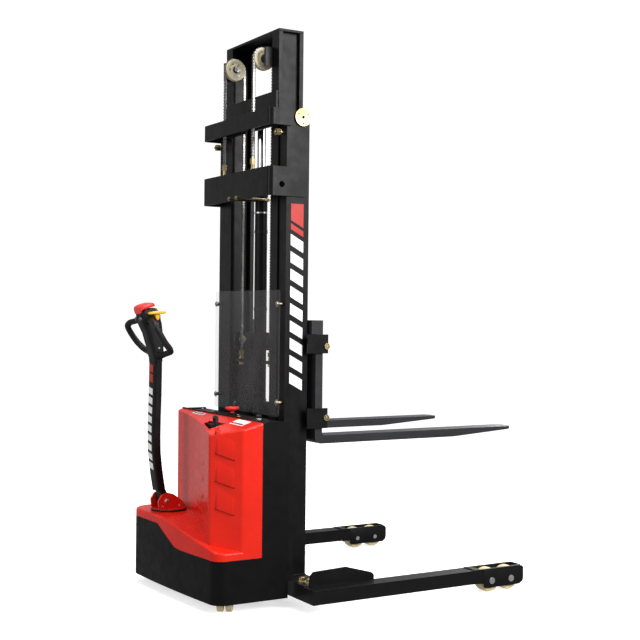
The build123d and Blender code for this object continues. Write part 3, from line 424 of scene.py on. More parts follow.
def add_hex_bolt(bm, base, axis, across, height, washer=None, segments=36):
    """Hexagon head with a turned chamfer, on a washer."""
    r = across / 2 / math.cos(math.pi / 6)
    low = washer[1] if washer else 0
    if washer:
        add_lathe(bm, [(0, washer[0] - 0.6), (0.3, washer[0]), (low - 0.3, washer[0]),
                       (low, washer[0] - 0.6)],
                  base, axis, segments)
    add_lathe(bm, [(low, r), (low + height - 1.2, r), (low + height, r * 0.86)], base, axis, 6)
    add_lathe(bm, [(low + height, across * 0.40), (low + height + 0.5, across * 0.36),
                   (low + height + 0.5, 0)],
              base, axis, segments)


LEFT_RIGHT = (1, -1)
X_AXIS, Y_AXIS, Z_AXIS = (1, 0, 0), (0, 1, 0), (0, 0, 1)


# ---------------------------------------------------------------- leaf chains
SHEAVE_X, SHEAVE_Y, SHEAVE_Z, PITCH_R, PITCH = -20.0, 137.0, 2286.0, 47.0, 12.7


def add_link(bm, start, end, y, thick, waist=1.9, round_r=5.6):
    """One figure-eight plate between two pins lying in an XZ plane."""
    start, end = Vector(start), Vector(end)
    along = (end - start).normalized()
    across = Vector((-along.z, 0, along.x))
    outline = []
    for i in range(7):
        a = math.pi * (i / 6) - math.pi / 2
        outline.append(end + (along * math.cos(a) + across * math.sin(a)) * round_r)
    outline.append((start + end) / 2 + across * waist)
    for i in range(7):
        a = math.pi * (i / 6) + math.pi / 2
        outline.append(start + (along * math.cos(a) + across * math.sin(a)) * round_r)
    outline.append((start + end) / 2 - across * waist)
    add_prism(bm, [p + Vector((0, y - thick / 2, 0)) for p in outline], (0, thick, 0))


def add_chain(bm, pins, y):
    """Plates of alternating lacing over a row of pins."""
    for i, (a, b) in enumerate(zip(pins, pins[1:])):
        for offset in ((-5.9, -2.0, 2.0, 5.9) if i % 2 else (-3.95, 0.0, 3.95)):
            add_link(bm, a, b, y + offset, 1.8)
    for p in pins[1:-1]:
        add_lathe(bm, [(-7.0, 1.8), (-6.8, 2.3), (6.8, 2.3), (7.0, 1.8)], (p[0], y, p[2]), Y_AXIS, 8)


def straight_pins(x, low, high):
    """Pin places of a straight strand, at the nearest whole number of pitches."""
    count = max(2, round((high - low) / PITCH))
    return [(x, 0, low + (high - low) * i / count) for i in range(count + 1)]


def chain_piece(name, pins, body, replaces, blend=None):
    """The left and right chains over one row of pins, as one piece."""
    bm = bmesh.new()
    for side in LEFT_RIGHT:
        add_chain(bm, pins, side * SHEAVE_Y)
    piece = finish_piece(bm, name, chain_steel, body)
    if blend:
        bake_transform(piece)
    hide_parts(replaces)


def row_point(x, y, z):
    """Truck millimetres to the row's metres."""
    return tuple(TO_ROW @ Vector((x, y, z)))


front_x, rear_x = SHEAVE_X + PITCH_R, SHEAVE_X - PITCH_R
chain_piece("leaf_chain_front", straight_pins(front_x, 1040, 2286), None,
            "chain_strands_front", ("lifting_mast", "carriage", row_point(front_x, 0, 2286),
                                    row_point(front_x, 0, 1040)))
chain_piece("leaf_chain_rear", straight_pins(rear_x, 1866, 2286), None, "chain_strands_rear",
            ("truck", "lifting_mast", row_point(rear_x, 0, 1866), row_point(rear_x, 0, 2286)))
arc = [(SHEAVE_X + PITCH_R * math.cos(math.pi * i / 12), 0, SHEAVE_Z + PITCH_R * math.sin(math.pi * i / 12))
       for i in range(13)]
chain_piece("leaf_chain_wraps", arc, "lifting_mast", "chain_wraps")


# ---------------------------------------------------------------- sheaves and wheels
for side, name in ((1, "left"), (-1, "right")):
    y = side * SHEAVE_Y
    bm = bmesh.new()
    outline = [(-12, 12.5), (-12, 22), (-9.5, 24), (-9.5, 33), (-12, 36), (-12, 46), (-10.5, 47.5),
               (-8.6, 47.5), (-7.5, 41), (7.5, 41), (8.6, 47.5), (10.5, 47.5), (12, 46), (12, 36),
               (9.5, 33), (9.5, 24), (12, 22), (12, 12.5)]
    add_ring_lathe(bm, outline, (SHEAVE_X, y, SHEAVE_Z), Y_AXIS, 64)
    finish_piece(bm, f"sheave_turned_{name}", sheave_cream, f"sheave_{name}",
                 replaces=(f"sheave_{name}",))
    bm = bmesh.new()
    add_ring_lathe(bm, [(-11.7, 10.3), (-11.7, 18), (-10.6, 19), (10.6, 19), (11.7, 18), (11.7, 10.3)],
                   (SHEAVE_X, y, SHEAVE_Z), Y_AXIS, 40)
    for i in range(6):
        a = math.pi * i / 3
        hole = (SHEAVE_X + 28.5 * math.cos(a), y - side * 9.8, SHEAVE_Z + 28.5 * math.sin(a))
        add_lathe(bm, [(0, 3.4), (0.3, 3.4), (0.3, 0)], hole, (0, -side, 0), 16)
    finish_piece(bm, f"sheave_bearing_{name}", machined, f"sheave_{name}")
    bm = bmesh.new()
    add_lathe(bm, [(0, 13.5), (2.5, 13.5), (3.5, 12.5), (3.5, 4), (6, 3.2), (6.6, 0)],
              (SHEAVE_X, side * (SHEAVE_Y - 24), SHEAVE_Z), (0, -side, 0), 32)
    finish_piece(bm, f"sheave_axle_cap_{name}", bright_zinc, "lifting_mast")

WHEEL_Y, WHEEL_Z = 545.5, 51
for row, x in (("rear", 891.0), ("front", 997.0)):
    for side, name in ((1, "left"), (-1, "right")):
        y, body = side * WHEEL_Y, f"load_wheel_{row}_{name}"
        bm = bmesh.new()
        outline = [(-24, 34), (-27, 36), (-27, 44), (-25, 49), (-21, 51), (21, 51), (25, 49), (27, 44),
                   (27, 36), (24, 34)]
        add_ring_lathe(bm, outline, (x, y, WHEEL_Z), Y_AXIS, 72)
        finish_piece(bm, f"tread_{row}_{name}", cream_pu, body, replaces=(body,))
        bm = bmesh.new()
        add_ring_lathe(bm, [(-26.4, 10.3), (-26.4, 17), (-23, 18), (-23, 34.2), (23, 34.2), (23, 18),
                            (26.4, 17), (26.4, 10.3)], (x, y, WHEEL_Z), Y_AXIS, 48)
        finish_piece(bm, f"hub_{row}_{name}", machined, body)
        bm = bmesh.new()
        add_lathe(bm, [(0, 14), (1.2, 15), (2.4, 14), (2.4, 9), (3.2, 8.4), (3.2, 0)],
                  (x, side * 584.7, WHEEL_Z), (0, side, 0), 32)
        finish_piece(bm, f"axle_head_{row}_{name}", bright_zinc, "truck")

bm = bmesh.new()
for side in LEFT_RIGHT:
    for y, thick in ((585.0, 1.4), (506.0, -1.4)):
        outline = [(846, 28), (852, 22), (1044, 22), (1062, 34), (1065.5, 48), (1065.5, 92), (1058, 102),
                   (846, 104)]
        add_prism(bm, [(x, side * y, z) for x, z in outline], (0, side * thick, 0), 0.4)
finish_piece(bm, "leg_end_cheeks", black_paint, "truck")

CASTOR_PIVOT, CASTOR_TRAIL, CASTOR_AXLE_Z, CASTOR_TURN = (-258, -308), 28, 50, 240
turn = math.radians(CASTOR_TURN)
castor_dir = Vector((math.cos(turn), math.sin(turn), 0))
castor_axis = Vector((-math.sin(turn), math.cos(turn), 0))
castor_mid = Vector((*CASTOR_PIVOT, CASTOR_AXLE_Z)) + castor_dir * CASTOR_TRAIL
bm, hubs = bmesh.new(), bmesh.new()
for low, high in ((4, 32), (-32, -4)):
    add_ring_lathe(bm, [(low, 30), (low, 44), (low + 4, 50), (high - 4, 50), (high, 44), (high, 30)],
                   castor_mid, castor_axis, 56)
    add_ring_lathe(hubs, [(low + 1, 7.3), (low + 1, 30.2), (high - 1, 30.2), (high - 1, 7.3)], castor_mid,
                   castor_axis, 40)
finish_piece(bm, "castor_treads", cream_pu, "castor_wheels", replaces=("castor_wheels",))
finish_piece(hubs, "castor_hubs", machined, "castor_wheels")


# ---------------------------------------------------------------- red cover details
CORNER, PILLAR = Vector((-336, -300, 0)), Vector((-232, -403, 0))
COVER_FRONT_X, COVER_HALF_WIDTH = -143, 402.6
side_dir = (PILLAR - CORNER).normalized()
side_out = Vector((side_dir.y, -side_dir.x, 0))


def on_side(u, z, out=0.0):
    """Point on the tower's oblique right face: u along from the rear corner, z up, out proud of it."""
    return CORNER + side_dir * u + side_out * out + Vector((0, 0, z))


bm, crease_shadows = bmesh.new(), bmesh.new()
for z in (639.0, 528.0, 418.0):
    sunk = ((24, z), (116, z - 28), (116, z + 58), (24, z + 92))
    low = [bm.verts.new(on_side(u, h, -1.5)) for u, h in sunk]
    proud = ((40, z - 4, 7.0), (102, z - 24, 4.5), (102, z + 48, 0.4), (40, z + 78, 0.4))
    top = [bm.verts.new(on_side(u, h, out)) for u, h, out in proud]
    bm.faces.new(low)
    bm.faces.new(list(reversed(top)))
    for i in range(4):
        j = (i + 1) % 4
        bm.faces.new([low[j], low[i], top[i], top[j]])
    # near-black tube along each gill's lower edge: a painted shadow line under the step
    add_tube(crease_shadows, [on_side(29, z - 1.2, 0.2), on_side(70, z - 14.2, 0.2), on_side(111, z - 27.2, 0.2)],
             2.0, 8)
bmesh.ops.bevel(bm, geom=list(bm.edges), offset=1.2, segments=2, affect="EDGES", profile=0.5)
finish_piece(bm, "cover_side_gills", red_gloss, "truck")
finish_piece(crease_shadows, "cover_side_crease_shadows", seam_painted_shade, "truck")


def rear_x_at(y):
    """X of the tower's hollow rear face at y, from the circle through its three guide points."""
    (ax, ay), (bx, by), (cx, cy) = (-165.0, 403.0), (-216.0, 110.0), (-336.0, -300.0)
    d = 2 * (ax * (by - cy) + bx * (cy - ay) + cx * (ay - by))
    a2, b2, c2 = ax * ax + ay * ay, bx * bx + by * by, cx * cx + cy * cy
    ux = (a2 * (by - cy) + b2 * (cy - ay) + c2 * (ay - by)) / d
    uy = (a2 * (cx - bx) + b2 * (ax - cx) + c2 * (bx - ax)) / d
    r = math.hypot(ax - ux, ay - uy)
    root = math.sqrt(max(0.0, r * r - (y - uy) ** 2))
    return ux - root if ux > bx else ux + root


bm = bmesh.new()
for z in (576.0, 508.0, 436.0, 366.0):
    stations = [(78, 0.3), (40, 2.6), (0, 4.0), (-40, 4.6), (-80, 4.6), (-118, 3.0), (-134, 0.3)]
    sections = []
    for y, proud in stations:
        x, drop = rear_x_at(y), (78 - y) * 0.05
        sections.append([(x + 1.5, y, z - drop), (x + 1.5, y, z - drop + 24), (x - 0.3, y, z - drop + 24),
                         (x - proud, y, z - drop + 2), (x - proud, y, z - drop)])
    add_loft(bm, sections)
finish_piece(bm, "cover_rear_gills", red_gloss, "truck", angle=25)


def skirt_outline(y):
    """Rear X of the chassis shell at y on the straight part of the bow."""
    (ax, ay), (bx, by), (cx, cy) = (-345.0, -403.0), (-385.0, 40.0), (-397.0, 403.0)
    t = (y - by) * (y - cy) / ((ay - by) * (ay - cy)) * ax
    t += (y - ay) * (y - cy) / ((by - ay) * (by - cy)) * bx
    return t + (y - ay) * (y - by) / ((cy - ay) * (cy - by)) * cx


# near-black tubes along the cover's joint lines: painted shade in the joint gaps
bm = bmesh.new()
seam = [Vector((skirt_outline(y) + 0.4, y, z)) for y, z in
        ((300, 296), (200, 296), (100, 296), (60, 278), (0, 249), (-62, 220), (-110, 215), (-200, 215),
         (-300, 215), (-345, 215))]
add_tube(bm, seam, 1.5, 8)
for y, z in ((-COVER_HALF_WIDTH, 215), (COVER_HALF_WIDTH, 296)):
    add_tube(bm, [Vector((x, y, z)) for x in (-300, -220, COVER_FRONT_X)], 1.5, 8)
for y, foot in ((-COVER_HALF_WIDTH, 216), (COVER_HALF_WIDTH, 297)):
    add_tube(bm, [Vector((COVER_FRONT_X, y, z)) for z in (foot, 500, 735)], 1.6, 8)
finish_piece(bm, "cover_joint_seam_shadows", seam_painted_shade, "truck")


def top_z(x):
    """Height of the tower's sloping top at x."""
    return 760 - 0.26 * (COVER_FRONT_X - x)


def on_top(x, y, lift):
    """Point on the tower's sloping top, lifted clear of it."""
    return Vector((x, y, top_z(x) + lift))


def top_patch(name, corners, material, lift=0.6):
    """Thin sheet on the tower's top."""
    bm = bmesh.new()
    add_prism(bm, [on_top(x, y, -0.5) for x, y in corners], (0, 0, lift + 0.5))
    finish_piece(bm, name, material, "truck")


top_patch("tower_label", [(-206, -330), (-154, -318), (-150, -196), (-202, -208)], decal_white)
top_patch("tower_label_band", [(-200, -322), (-188, -319), (-184, -206), (-196, -209)], decal_red, 0.9)
top_patch("tower_label_left", [(-172, 120), (-152, 120), (-152, 226), (-172, 226)], decal_white)
for i, (a, b) in enumerate(((126, 154), (160, 186), (192, 220))):
    top_patch(f"tower_label_left_bar_{i}", [(-168, a), (-156, a), (-156, b), (-168, b)], grey_plastic, 0.9)

bm = bmesh.new()
opening = [(-248, -52), (-215, -52), (-215, -212), (-294, -212)]
route = []
for (ax, ay), (bx, by) in zip(opening, opening[1:] + opening[:1]):
    for k in range(6):
        t = k / 6
        route.append(on_top(ax + (bx - ax) * t, ay + (by - ay) * t, 0.6))
route.append(route[0].copy())
add_tube(bm, route, 2.8, 10)
finish_piece(bm, "connector_opening_lip", red_gloss, "truck")

bm = bmesh.new()
for i in range(7):
    y = -170 + i * 8.5
    add_box(bm, (-257.5, -256), (y, y + 3.5), (684, 710), 0.5)
finish_piece(bm, "connector_ribs", grey_plastic, "truck")
bm = bmesh.new()
for dy, bend in ((-176, -14), (-116, 12)):
    add_tube(bm, smooth_path([(-241, dy, 690), (-238, dy + bend, 712), (-228, dy + bend * 1.6, 700),
                              (-222, dy + bend * 1.8, 640), (-215, dy + bend, 560)]), 6.5, 12)
finish_piece(bm, "connector_leads", cable_black, "truck")
bm = bmesh.new()
add_tube(bm, smooth_path([(-252, -196, 706), (-254, -196, 748), (-246, -186, 764), (-240, -160, 766),
                          (-234, -136, 764), (-228, -126, 748), (-228, -126, 706)]), 7.5, 14)
add_box(bm, (-262, -226), (-200, -146), (700, 741), 5)
add_box(bm, (-254, -228), (-128, -106), (704, 739), 4)
finish_piece(bm, "connector_grip", black_plastic, "truck")


def knurl(a):
    """Shallow grip ridges round the mushroom."""
    return 1 + 0.012 * math.cos(24 * a)


ESTOP, KEY, CYLINDER = (-112, -58, 760), (-118, -314, 760), (49, 0)
bm = bmesh.new()
add_lathe(bm, [(-22, 8), (20, 8), (22, 12), (26, 21), (29, 27), (31.5, 29.4), (35, 30), (38, 28.8),
               (39.6, 25), (40, 18), (39.2, 12), (39.2, 0)], ESTOP, Z_AXIS, 72, teeth=knurl)
finish_piece(bm, "estop_mushroom", red_cap, "estop_knob", replaces=("estop_knob",),
             angle=50)
bm = bmesh.new()
add_ring_lathe(bm, [(-4, 21), (-4, 34), (-2.5, 35), (-1.5, 34.5), (-1.5, 21)], ESTOP, Z_AXIS, 56)
finish_piece(bm, "estop_plate", yellow_band, "truck")
bm = bmesh.new()
add_box(bm, (-131, -105), (-317.5, -310.5), (770, 787), 3)
finish_piece(bm, "key_grip", black_plastic, "key")
bm = bmesh.new()
add_ring_lathe(bm, [(4.2, 6), (4.2, 15.5), (5.6, 16.5), (6.4, 15), (6.4, 6)], KEY, Z_AXIS, 40)
finish_piece(bm, "key_bezel", bright_zinc, "truck")
bm = bmesh.new()
add_box(bm, (-132, -96), (120, 190), (755.5, 764), 3)
finish_piece(bm, "charge_meter_case", black_plastic, "truck")
bm = bmesh.new()
add_box(bm, (-126, -102), (128, 182), (762, 764.6), 0.8)
finish_piece(bm, "charge_meter_window", grey_plastic, "truck")
bm = bmesh.new()
for y in (-380, -200, 10, 260, 380):
    add_lathe(bm, [(0, 6), (1.6, 5.6), (2.4, 3.4), (1.2, 3), (1.2, 0)], (-50, y, 756), Z_AXIS, 20)
finish_piece(bm, "tray_screws", bright_zinc, "truck")


# ---------------------------------------------------------------- mast details
bm = bmesh.new()
for side in LEFT_RIGHT:
    for z in (831, 1242):
        seat = (-24, side * 292, z)
        add_lathe(bm, [(0, 12.5), (1.4, 12.5), (1.8, 12)], seat, (-1, 0, 0), 32)
        add_lathe(bm, [(1.8, 8.4), (4.2, 8.4), (6.6, 6.6), (7.2, 4.4), (4.4, 3.8), (4.4, 0)], seat,
                  (-1, 0, 0), 28)
finish_piece(bm, "guard_screw_heads", bright_zinc, "truck")

bm = bmesh.new()
for side in LEFT_RIGHT:
    for x, y in ((30, 426), (40, 466)):
        add_hex_bolt(bm, (x, side * y, 122), Z_AXIS, 22, 4, None)
        add_lathe(bm, [(0, 20), (0.4, 20.6), (2.4, 20.6), (2.8, 20)], (x, side * y, 107.6), Z_AXIS, 36)
    add_lathe(bm, [(0, 12), (1.5, 13), (4, 13), (5.2, 11.5), (5.2, 6)], (-20, side * 287, 1957), (1, 0, 0),
              28)
    for angle in (30, 150, 270):
        a = math.radians(angle)
        spot = (72 + 26 * math.cos(a), side * 322.5, 2022 + 26 * math.sin(a))
        add_ring_lathe(bm, [(0, 3.2), (0, 5.8), (3.6, 5.8), (4.2, 5.2), (4.2, 3.2)], spot, (0, side, 0), 20)
    add_ring_lathe(bm, [(8.6, 7), (8.6, 13), (10.4, 12.4), (10.4, 7)], (72, side * 316.6, 2022),
                   (0, side, 0), 32)
finish_piece(bm, "zinc_fittings", zinc, "truck")


def weld(bm, points, r=3.2):
    """Rippled weld bead through points."""
    route = smooth_path(points, 14)
    add_tube(bm, route, lambda t: r * (0.86 + 0.14 * abs(math.sin(t * len(route) * 1.1))), 10)


bm = bmesh.new()
for side in LEFT_RIGHT:
    for z in (1692.5, 1808.0):
        weld(bm, [(4, side * 317.2, z), (40, side * 317.2, z), (74, side * 317.2, z)])
    for z in (1986, 2049):
        weld(bm, [(4, side * 317.2, z), (12, side * 317.2, z), (20, side * 317.2, z)], 2.6)
    weld(bm, [(107.5, side * 260, 109), (107.5, side * 286, 109), (107.5, side * 314, 109)])
    weld(bm, [(2, side * 317, 109), (50, side * 317, 109), (104, side * 317, 109)])
    weld(bm, [(-5, side * 508, 103), (40, side * 508, 104), (104, side * 508, 104)], 3.0)
    weld(bm, [(20, side * 507.6, 103.4), (150, side * 507.6, 103.4), (318, side * 507.6, 103.4)], 2.4)
    weld(bm, [(795, side * 512, 104.5), (795, side * 545, 104.5), (795, side * 580, 104.5)], 2.4)
finish_piece(bm, "weld_beads", black_paint, "truck", angle=60)

bm = bmesh.new()
for side in LEFT_RIGHT:
    weld(bm, [(112.4, side * 192, 2398), (112.4, side * 220, 2398), (112.4, side * 248, 2398)], 2.0)
    weld(bm, [(-6, side * 250.4, 2390), (50, side * 250.4, 2390), (110, side * 250.4, 2390)], 2.0)
    weld(bm, [(-6.4, side * 251, 1996), (-6.4, side * 251, 2060), (-6.4, side * 251, 2132)], 2.2)
finish_piece(bm, "lifting_mast_welds", mast_paint, "lifting_mast", angle=60)

MAST_FACE = 316.95
for side, name in ((-1, "right"), (1, "left")):
    face = side * MAST_FACE
    bm = bmesh.new()
    add_prism(bm, [(22, face, 1660), (82, face, 1660), (82, face, 1560), (22, face, 1592)],
              (0, side * 0.6, 0))
    add_prism(bm, [(22, face, 1578), (82, face, 1546), (82, face, 1522), (22, face, 1554)],
              (0, side * 0.6, 0))
    finish_piece(bm, f"mast_stripe_red_{name}", decal_red, "truck")
    bm = bmesh.new()
    for k in range(9):
        z = 1502 - k * 72
        add_prism(bm, [(22, face, z + 32), (82, face, z), (82, face, z - 46), (22, face, z - 14)],
                  (0, side * 0.6, 0))
    finish_piece(bm, f"mast_stripe_white_{name}", decal_white, "truck")

bm = bmesh.new()
add_ring_lathe(bm, [(0, 20.6), (0, 27), (2, 28.4), (8, 28.4), (10, 26), (10, 20.6)], (*CYLINDER, 1734),
               Z_AXIS, 48)
add_ring_lathe(bm, [(0, 28.1), (0, 30.5), (6, 30.5), (6, 28.1)], (*CYLINDER, 1640), Z_AXIS, 48)
finish_piece(bm, "cylinder_wiper", machined, "truck")
bm = bmesh.new()
add_tube(bm, smooth_path([(84, 24, 176), (84, 26, 300), (82, 26, 700), (82, 26, 1200), (80, 22, 1600),
                          (70, 16, 1700)]),
         6.5, 14)
add_tube(bm, smooth_path([(84, 24, 176), (86, 60, 150), (78, 115, 136), (62, 160, 132)]), 6.5, 14)
finish_piece(bm, "lift_hose", cable_black, "truck")
bm = bmesh.new()
for z in (420, 820, 1220, 1560):
    add_ring_lathe(bm, [(-6, 28.3), (-6, 29.8), (6, 29.8), (6, 28.3)], (*CYLINDER, z), Z_AXIS, 40)
    add_ring_lathe(bm, [(-6, 7), (-6, 8.4), (6, 8.4), (6, 7)], (82, 26 if z < 1500 else 23, z), Z_AXIS, 24)
finish_piece(bm, "hose_clips", black_plastic, "truck")

bm = bmesh.new()
for side in LEFT_RIGHT:
    for z in (1066, 766):
        add_hex_bolt(bm, (180, side * 360, z), (0, side, 0), 17, 0.01)
        add_ring_lathe(bm, [(0, 4), (0, 8.5), (-0.6, 8.5), (-0.6, 4)], (180, side * 360, z), (0, side, 0), 24)
    add_lathe(bm, [(0, 16), (1.6, 17), (4.5, 17), (6, 15), (6, 5), (9, 4.2), (10, 0)], (35, side * 147, 1084),
              (0, -side, 0), 36)
finish_piece(bm, "carriage_bosses", zinc, "carriage")


# ---------------------------------------------------------------- tiller
ARM_X, TILLER_Y = -368.0, 225.0
HINGE_X, HINGE_Z = -311, 375
STRIPES = 9


def arm_rear(z):
    """X of the arm's rear face at height z."""
    points = ((400, -343.0), (500, -360.5), (600, -372.0), (700, -373.0), (800, -370.0), (900, -368.6),
              (992, -368.0))
    for (z0, x0), (z1, x1) in zip(points, points[1:]):
        if z <= z1:
            return x0 + (x1 - x0) * (z - z0) / (z1 - z0)
    return points[-1][1]


bm = bmesh.new()
levels = [417, 440, 480, 530, 590, 660, 740, 820, 900, 960, 992]
add_loft(bm, [rounded_section((arm_rear(z) + 18.5, TILLER_Y, z), X_AXIS, Y_AXIS, 18.4, 37.9, 6.0, 36)
              for z in levels])
add_box(bm, (-331, -305), (TILLER_Y - 30.8, TILLER_Y + 30.8), (378, 420), 3)
add_lathe(bm, [(-31, 17), (-29, 20), (29, 20), (31, 17)], (HINGE_X, TILLER_Y, HINGE_Z), Y_AXIS, 40)
finish_piece(bm, "arm_pressing", black_paint, "tiller", replaces=("tiller_arm",), angle=30)

bm = bmesh.new()
for side in LEFT_RIGHT:
    y = TILLER_Y + side * 52
    add_lathe(bm, [(0, 8), (1.2, 12), (2.6, 12), (3.4, 10.5)], (HINGE_X, y - side * 4, HINGE_Z),
              (0, side, 0), 28)
    add_hex_bolt(bm, (HINGE_X, y - side * 0.8, HINGE_Z), (0, side, 0), 15, 3.2)
    for x, z in ((-330, 352), (-250, 352)):
        add_lathe(bm, [(0, 5.5), (1.2, 5.5), (2.0, 4.2), (2.2, 2.8), (1, 2.4), (1, 0)],
                  (x, TILLER_Y + side * 48, z), (0, side, 0), 20)
finish_piece(bm, "cheek_screws", bright_zinc, "steering")
bm = bmesh.new()
add_ring_lathe(bm, [(0.3, 76.5), (0.3, 79), (2, 80), (5, 79), (6.5, 77), (6.5, 60)], (-280, 225, 331),
               Z_AXIS, 72)
finish_piece(bm, "turntable_rim", black_plastic, "steering")


def arm_patch(bm, low, high, slope=8.0):
    """Slanted block of film on the rear face of the arm."""
    corners = []
    for dy, z in ((27, high), (-16, high - slope), (-16, low - slope), (27, low)):
        corners.append((arm_rear(z) + 0.6, TILLER_Y + dy, z))
    add_prism(bm, corners, (-1.3, 0, 0))


bm = bmesh.new()
arm_patch(bm, 944, 978)
arm_patch(bm, 900, 936)
finish_piece(bm, "arm_stripe_red", decal_red, "tiller")
bm = bmesh.new()
for k in range(STRIPES):
    arm_patch(bm, 846 - 41 * k, 874 - 41 * k)
finish_piece(bm, "arm_stripe_white", decal_white, "tiller")

# head: lofted shell from the neck to the slanted crown
bm = bmesh.new()
HEAD = [(985, -349.5, 19.5, 39.0, 6.0), (1000, -349.5, 20.5, 40.0, 5.0), (1030, -351.0, 27.0, 42.0, 4.5),
        (1070, -358.0, 34.0, 43.0, 4.2), (1110, -366.0, 38.5, 44.0, 4.2), (1150, -378.0, 44.5, 45.5, 4.4),
        (1180, -387.0, 44.0, 45.5, 4.6), (1196, -392.5, 40.5, 45.0, 4.8)]
crown = [(1206, -399.0, 36.0, 44.5, 4.8, 0.26), (1212.5, -401.0, 33.5, 43.0, 4.6, 0.26)]
sections = []
for z, x, half_x, half_y, power in HEAD:
    lean = 0.0 if z < 1150 else 0.12 if z < 1190 else 0.2
    sections.append(rounded_section((x, TILLER_Y, z), (1, 0, lean), Y_AXIS, half_x, half_y, power, 36))
for z, x, half_x, half_y, power, lean in crown:
    sections.append(rounded_section((x, TILLER_Y, z), (1, 0, lean), Y_AXIS, half_x, half_y, power, 36))
add_loft(bm, sections)
loop = [(-24, 30, 1170), (-34, 60, 1167), (-42, 100, 1161), (-49, 140, 1154), (-50, 160, 1143),
        (-43, 168, 1126), (-26, 167, 1098), (-6, 163, 1070), (14, 158, 1048), (26, 146, 1034),
        (29, 128, 1029), (28, 95, 1023), (24, 60, 1016), (14, 30, 1016)]
for side in LEFT_RIGHT:
    route = smooth_path([(ARM_X + x, TILLER_Y + side * y, z) for x, y, z in loop], 6)
    add_tube(bm, route, lambda t: 13.2 + 4.5 * max(0, 1 - 9 * t) + 5.5 * max(0, 9 * t - 8), 20)
finish_piece(bm, "head_moulding", black_plastic, "tiller", replaces=("tiller_head",),
             angle=40)

bm = bmesh.new()
for side in LEFT_RIGHT:
    grip = [(-49, 150, 1149.5), (-50, 162, 1141), (-43, 168, 1126), (-26, 167, 1098), (-6, 163, 1070),
            (14, 158, 1048), (22, 151, 1038)]
    route = smooth_path([(ARM_X + x, TILLER_Y + side * y, z) for x, y, z in grip], 10)
    add_tube(bm, route, lambda t: 13.6 + 0.5 * abs(math.sin(t * 62)), 20)
finish_piece(bm, "head_grips", grip_rubber, "tiller", angle=60)

bm = bmesh.new()
add_loft(bm, [rounded_section((-347.5, TILLER_Y, 1160), (1, 0, 0.2), Y_AXIS, 10, 33, 5, 32),
              rounded_section((-352.5, TILLER_Y, 1186), (1, 0, 0.2), Y_AXIS, 12, 36, 5, 32),
              rounded_section((-362, TILLER_Y, 1206), (1, 0, 0.26), Y_AXIS, 11, 37, 5, 32),
              rounded_section((-369, TILLER_Y, 1218), (1, 0, 0.26), Y_AXIS, 8.5, 36, 5, 32)])
finish_piece(bm, "head_top_insert", grey_plastic, "tiller", angle=40)
# near-black ring round the collar joint: painted shade in the gap
bm = bmesh.new()
collar = rounded_section((-349.5, TILLER_Y, 1004), X_AXIS, Y_AXIS, 21.4, 40.8, 5, 40)
add_tube(bm, collar + [collar[0].copy()], 1.3, 8)
finish_piece(bm, "head_collar_seam_shadow", seam_painted_shade, "tiller")
bm = bmesh.new()
for side in LEFT_RIGHT:
    for z, x in ((1046, -352), (1136, -374)):
        add_lathe(bm, [(0, 4.6), (1.0, 4.6), (1.8, 3.4), (0.6, 2.2), (0.6, 0)],
                  (x, TILLER_Y + side * 43.6, z), (0, side, 0), 20)
finish_piece(bm, "head_screws", bright_zinc, "tiller")

# red safety cap: a curved saddle over the crown
bm = bmesh.new()
cap_turn = Matrix.Rotation(math.radians(-15), 4, "Y")
cap_place = Matrix.Translation((ARM_X - 34, TILLER_Y, 1213.5)) @ cap_turn
rows = [(-36.5, -12.0, 6.0, 35.0), (-35.5, -9.0, 16.0, 42.0), (-30.0, 1.5, 22.5, 45.5),
        (-18.0, 4.5, 25.5, 46.0), (0.0, 4.5, 27.0, 46.0), (18.0, 4.5, 26.5, 45.5), (29.0, 4.5, 23.5, 43.0),
        (35.0, 5.0, 17.5, 38.0), (36.5, 6.5, 12.0, 33.0)]
sections = []
for x, low, high, half in rows:
    middle, height = (low + high) / 2, (high - low) / 2
    ring = rounded_section((x, 0, middle), Y_AXIS, Z_AXIS, half, height, 4.5, 32)
    sections.append([cap_place @ p for p in ring])
add_loft(bm, sections)
add_lathe(bm, [(-17, 9), (-16, 10), (9, 10)], cap_place.translation, cap_turn @ Vector((0, 0, 1)), 32)
finish_piece(bm, "cap_moulding", red_cap, "belly_button", replaces=("belly_button",),
             angle=50)

# yellow butterfly: a thumb paddle on each side of the head
bm = bmesh.new()
pivot = Vector((-366, TILLER_Y, 1189))
for side in LEFT_RIGHT:
    add_lathe(bm, [(43.2, 9), (44.5, 11), (52, 11), (54, 9), (54, 3.5), (53, 3), (53, 0)], pivot,
              (0, side, 0), 36)
    stem = [(-20, 3.5, 6.0), (-17, 7.5, 7.0), (-8, 9.5, 7.0), (4, 10.5, 7.0), (13, 14, 7.5), (17, 12, 7.0)]
    sections = []
    for rise, half_x, half_y in stem:
        middle = pivot + Vector((-0.06 * rise, side * 50.5, rise))
        sections.append(rounded_section(middle, X_AXIS, Y_AXIS, half_x, half_y, 3.6, 28))
    add_loft(bm, sections)
    wing = [(-43, 56, 8, 2.5, 6.5), (-40, 59, 11.5, 5, 7), (-28, 60.5, 13.2, 6.5, 9),
            (-10, 60.5, 13.5, 7.0, 11), (8, 60.5, 13.5, 7.2, 12), (22, 60.5, 13.2, 6.6, 12.5),
            (32, 60.0, 11.5, 5, 13), (35, 59, 8, 2.5, 13.5)]
    sections = []
    for x, y, half_y, half_z, rise in wing:
        middle = pivot + Vector((x, side * y, rise))
        sections.append(rounded_section(middle, Y_AXIS, Z_AXIS, half_y, half_z, 3.0, 28))
    add_loft(bm, sections)
add_lathe(bm, [(-44, 4), (44, 4)], pivot, Y_AXIS, 20)
finish_piece(bm, "butterfly_moulding", yellow, "throttle", replaces=("throttle",),
             angle=50)


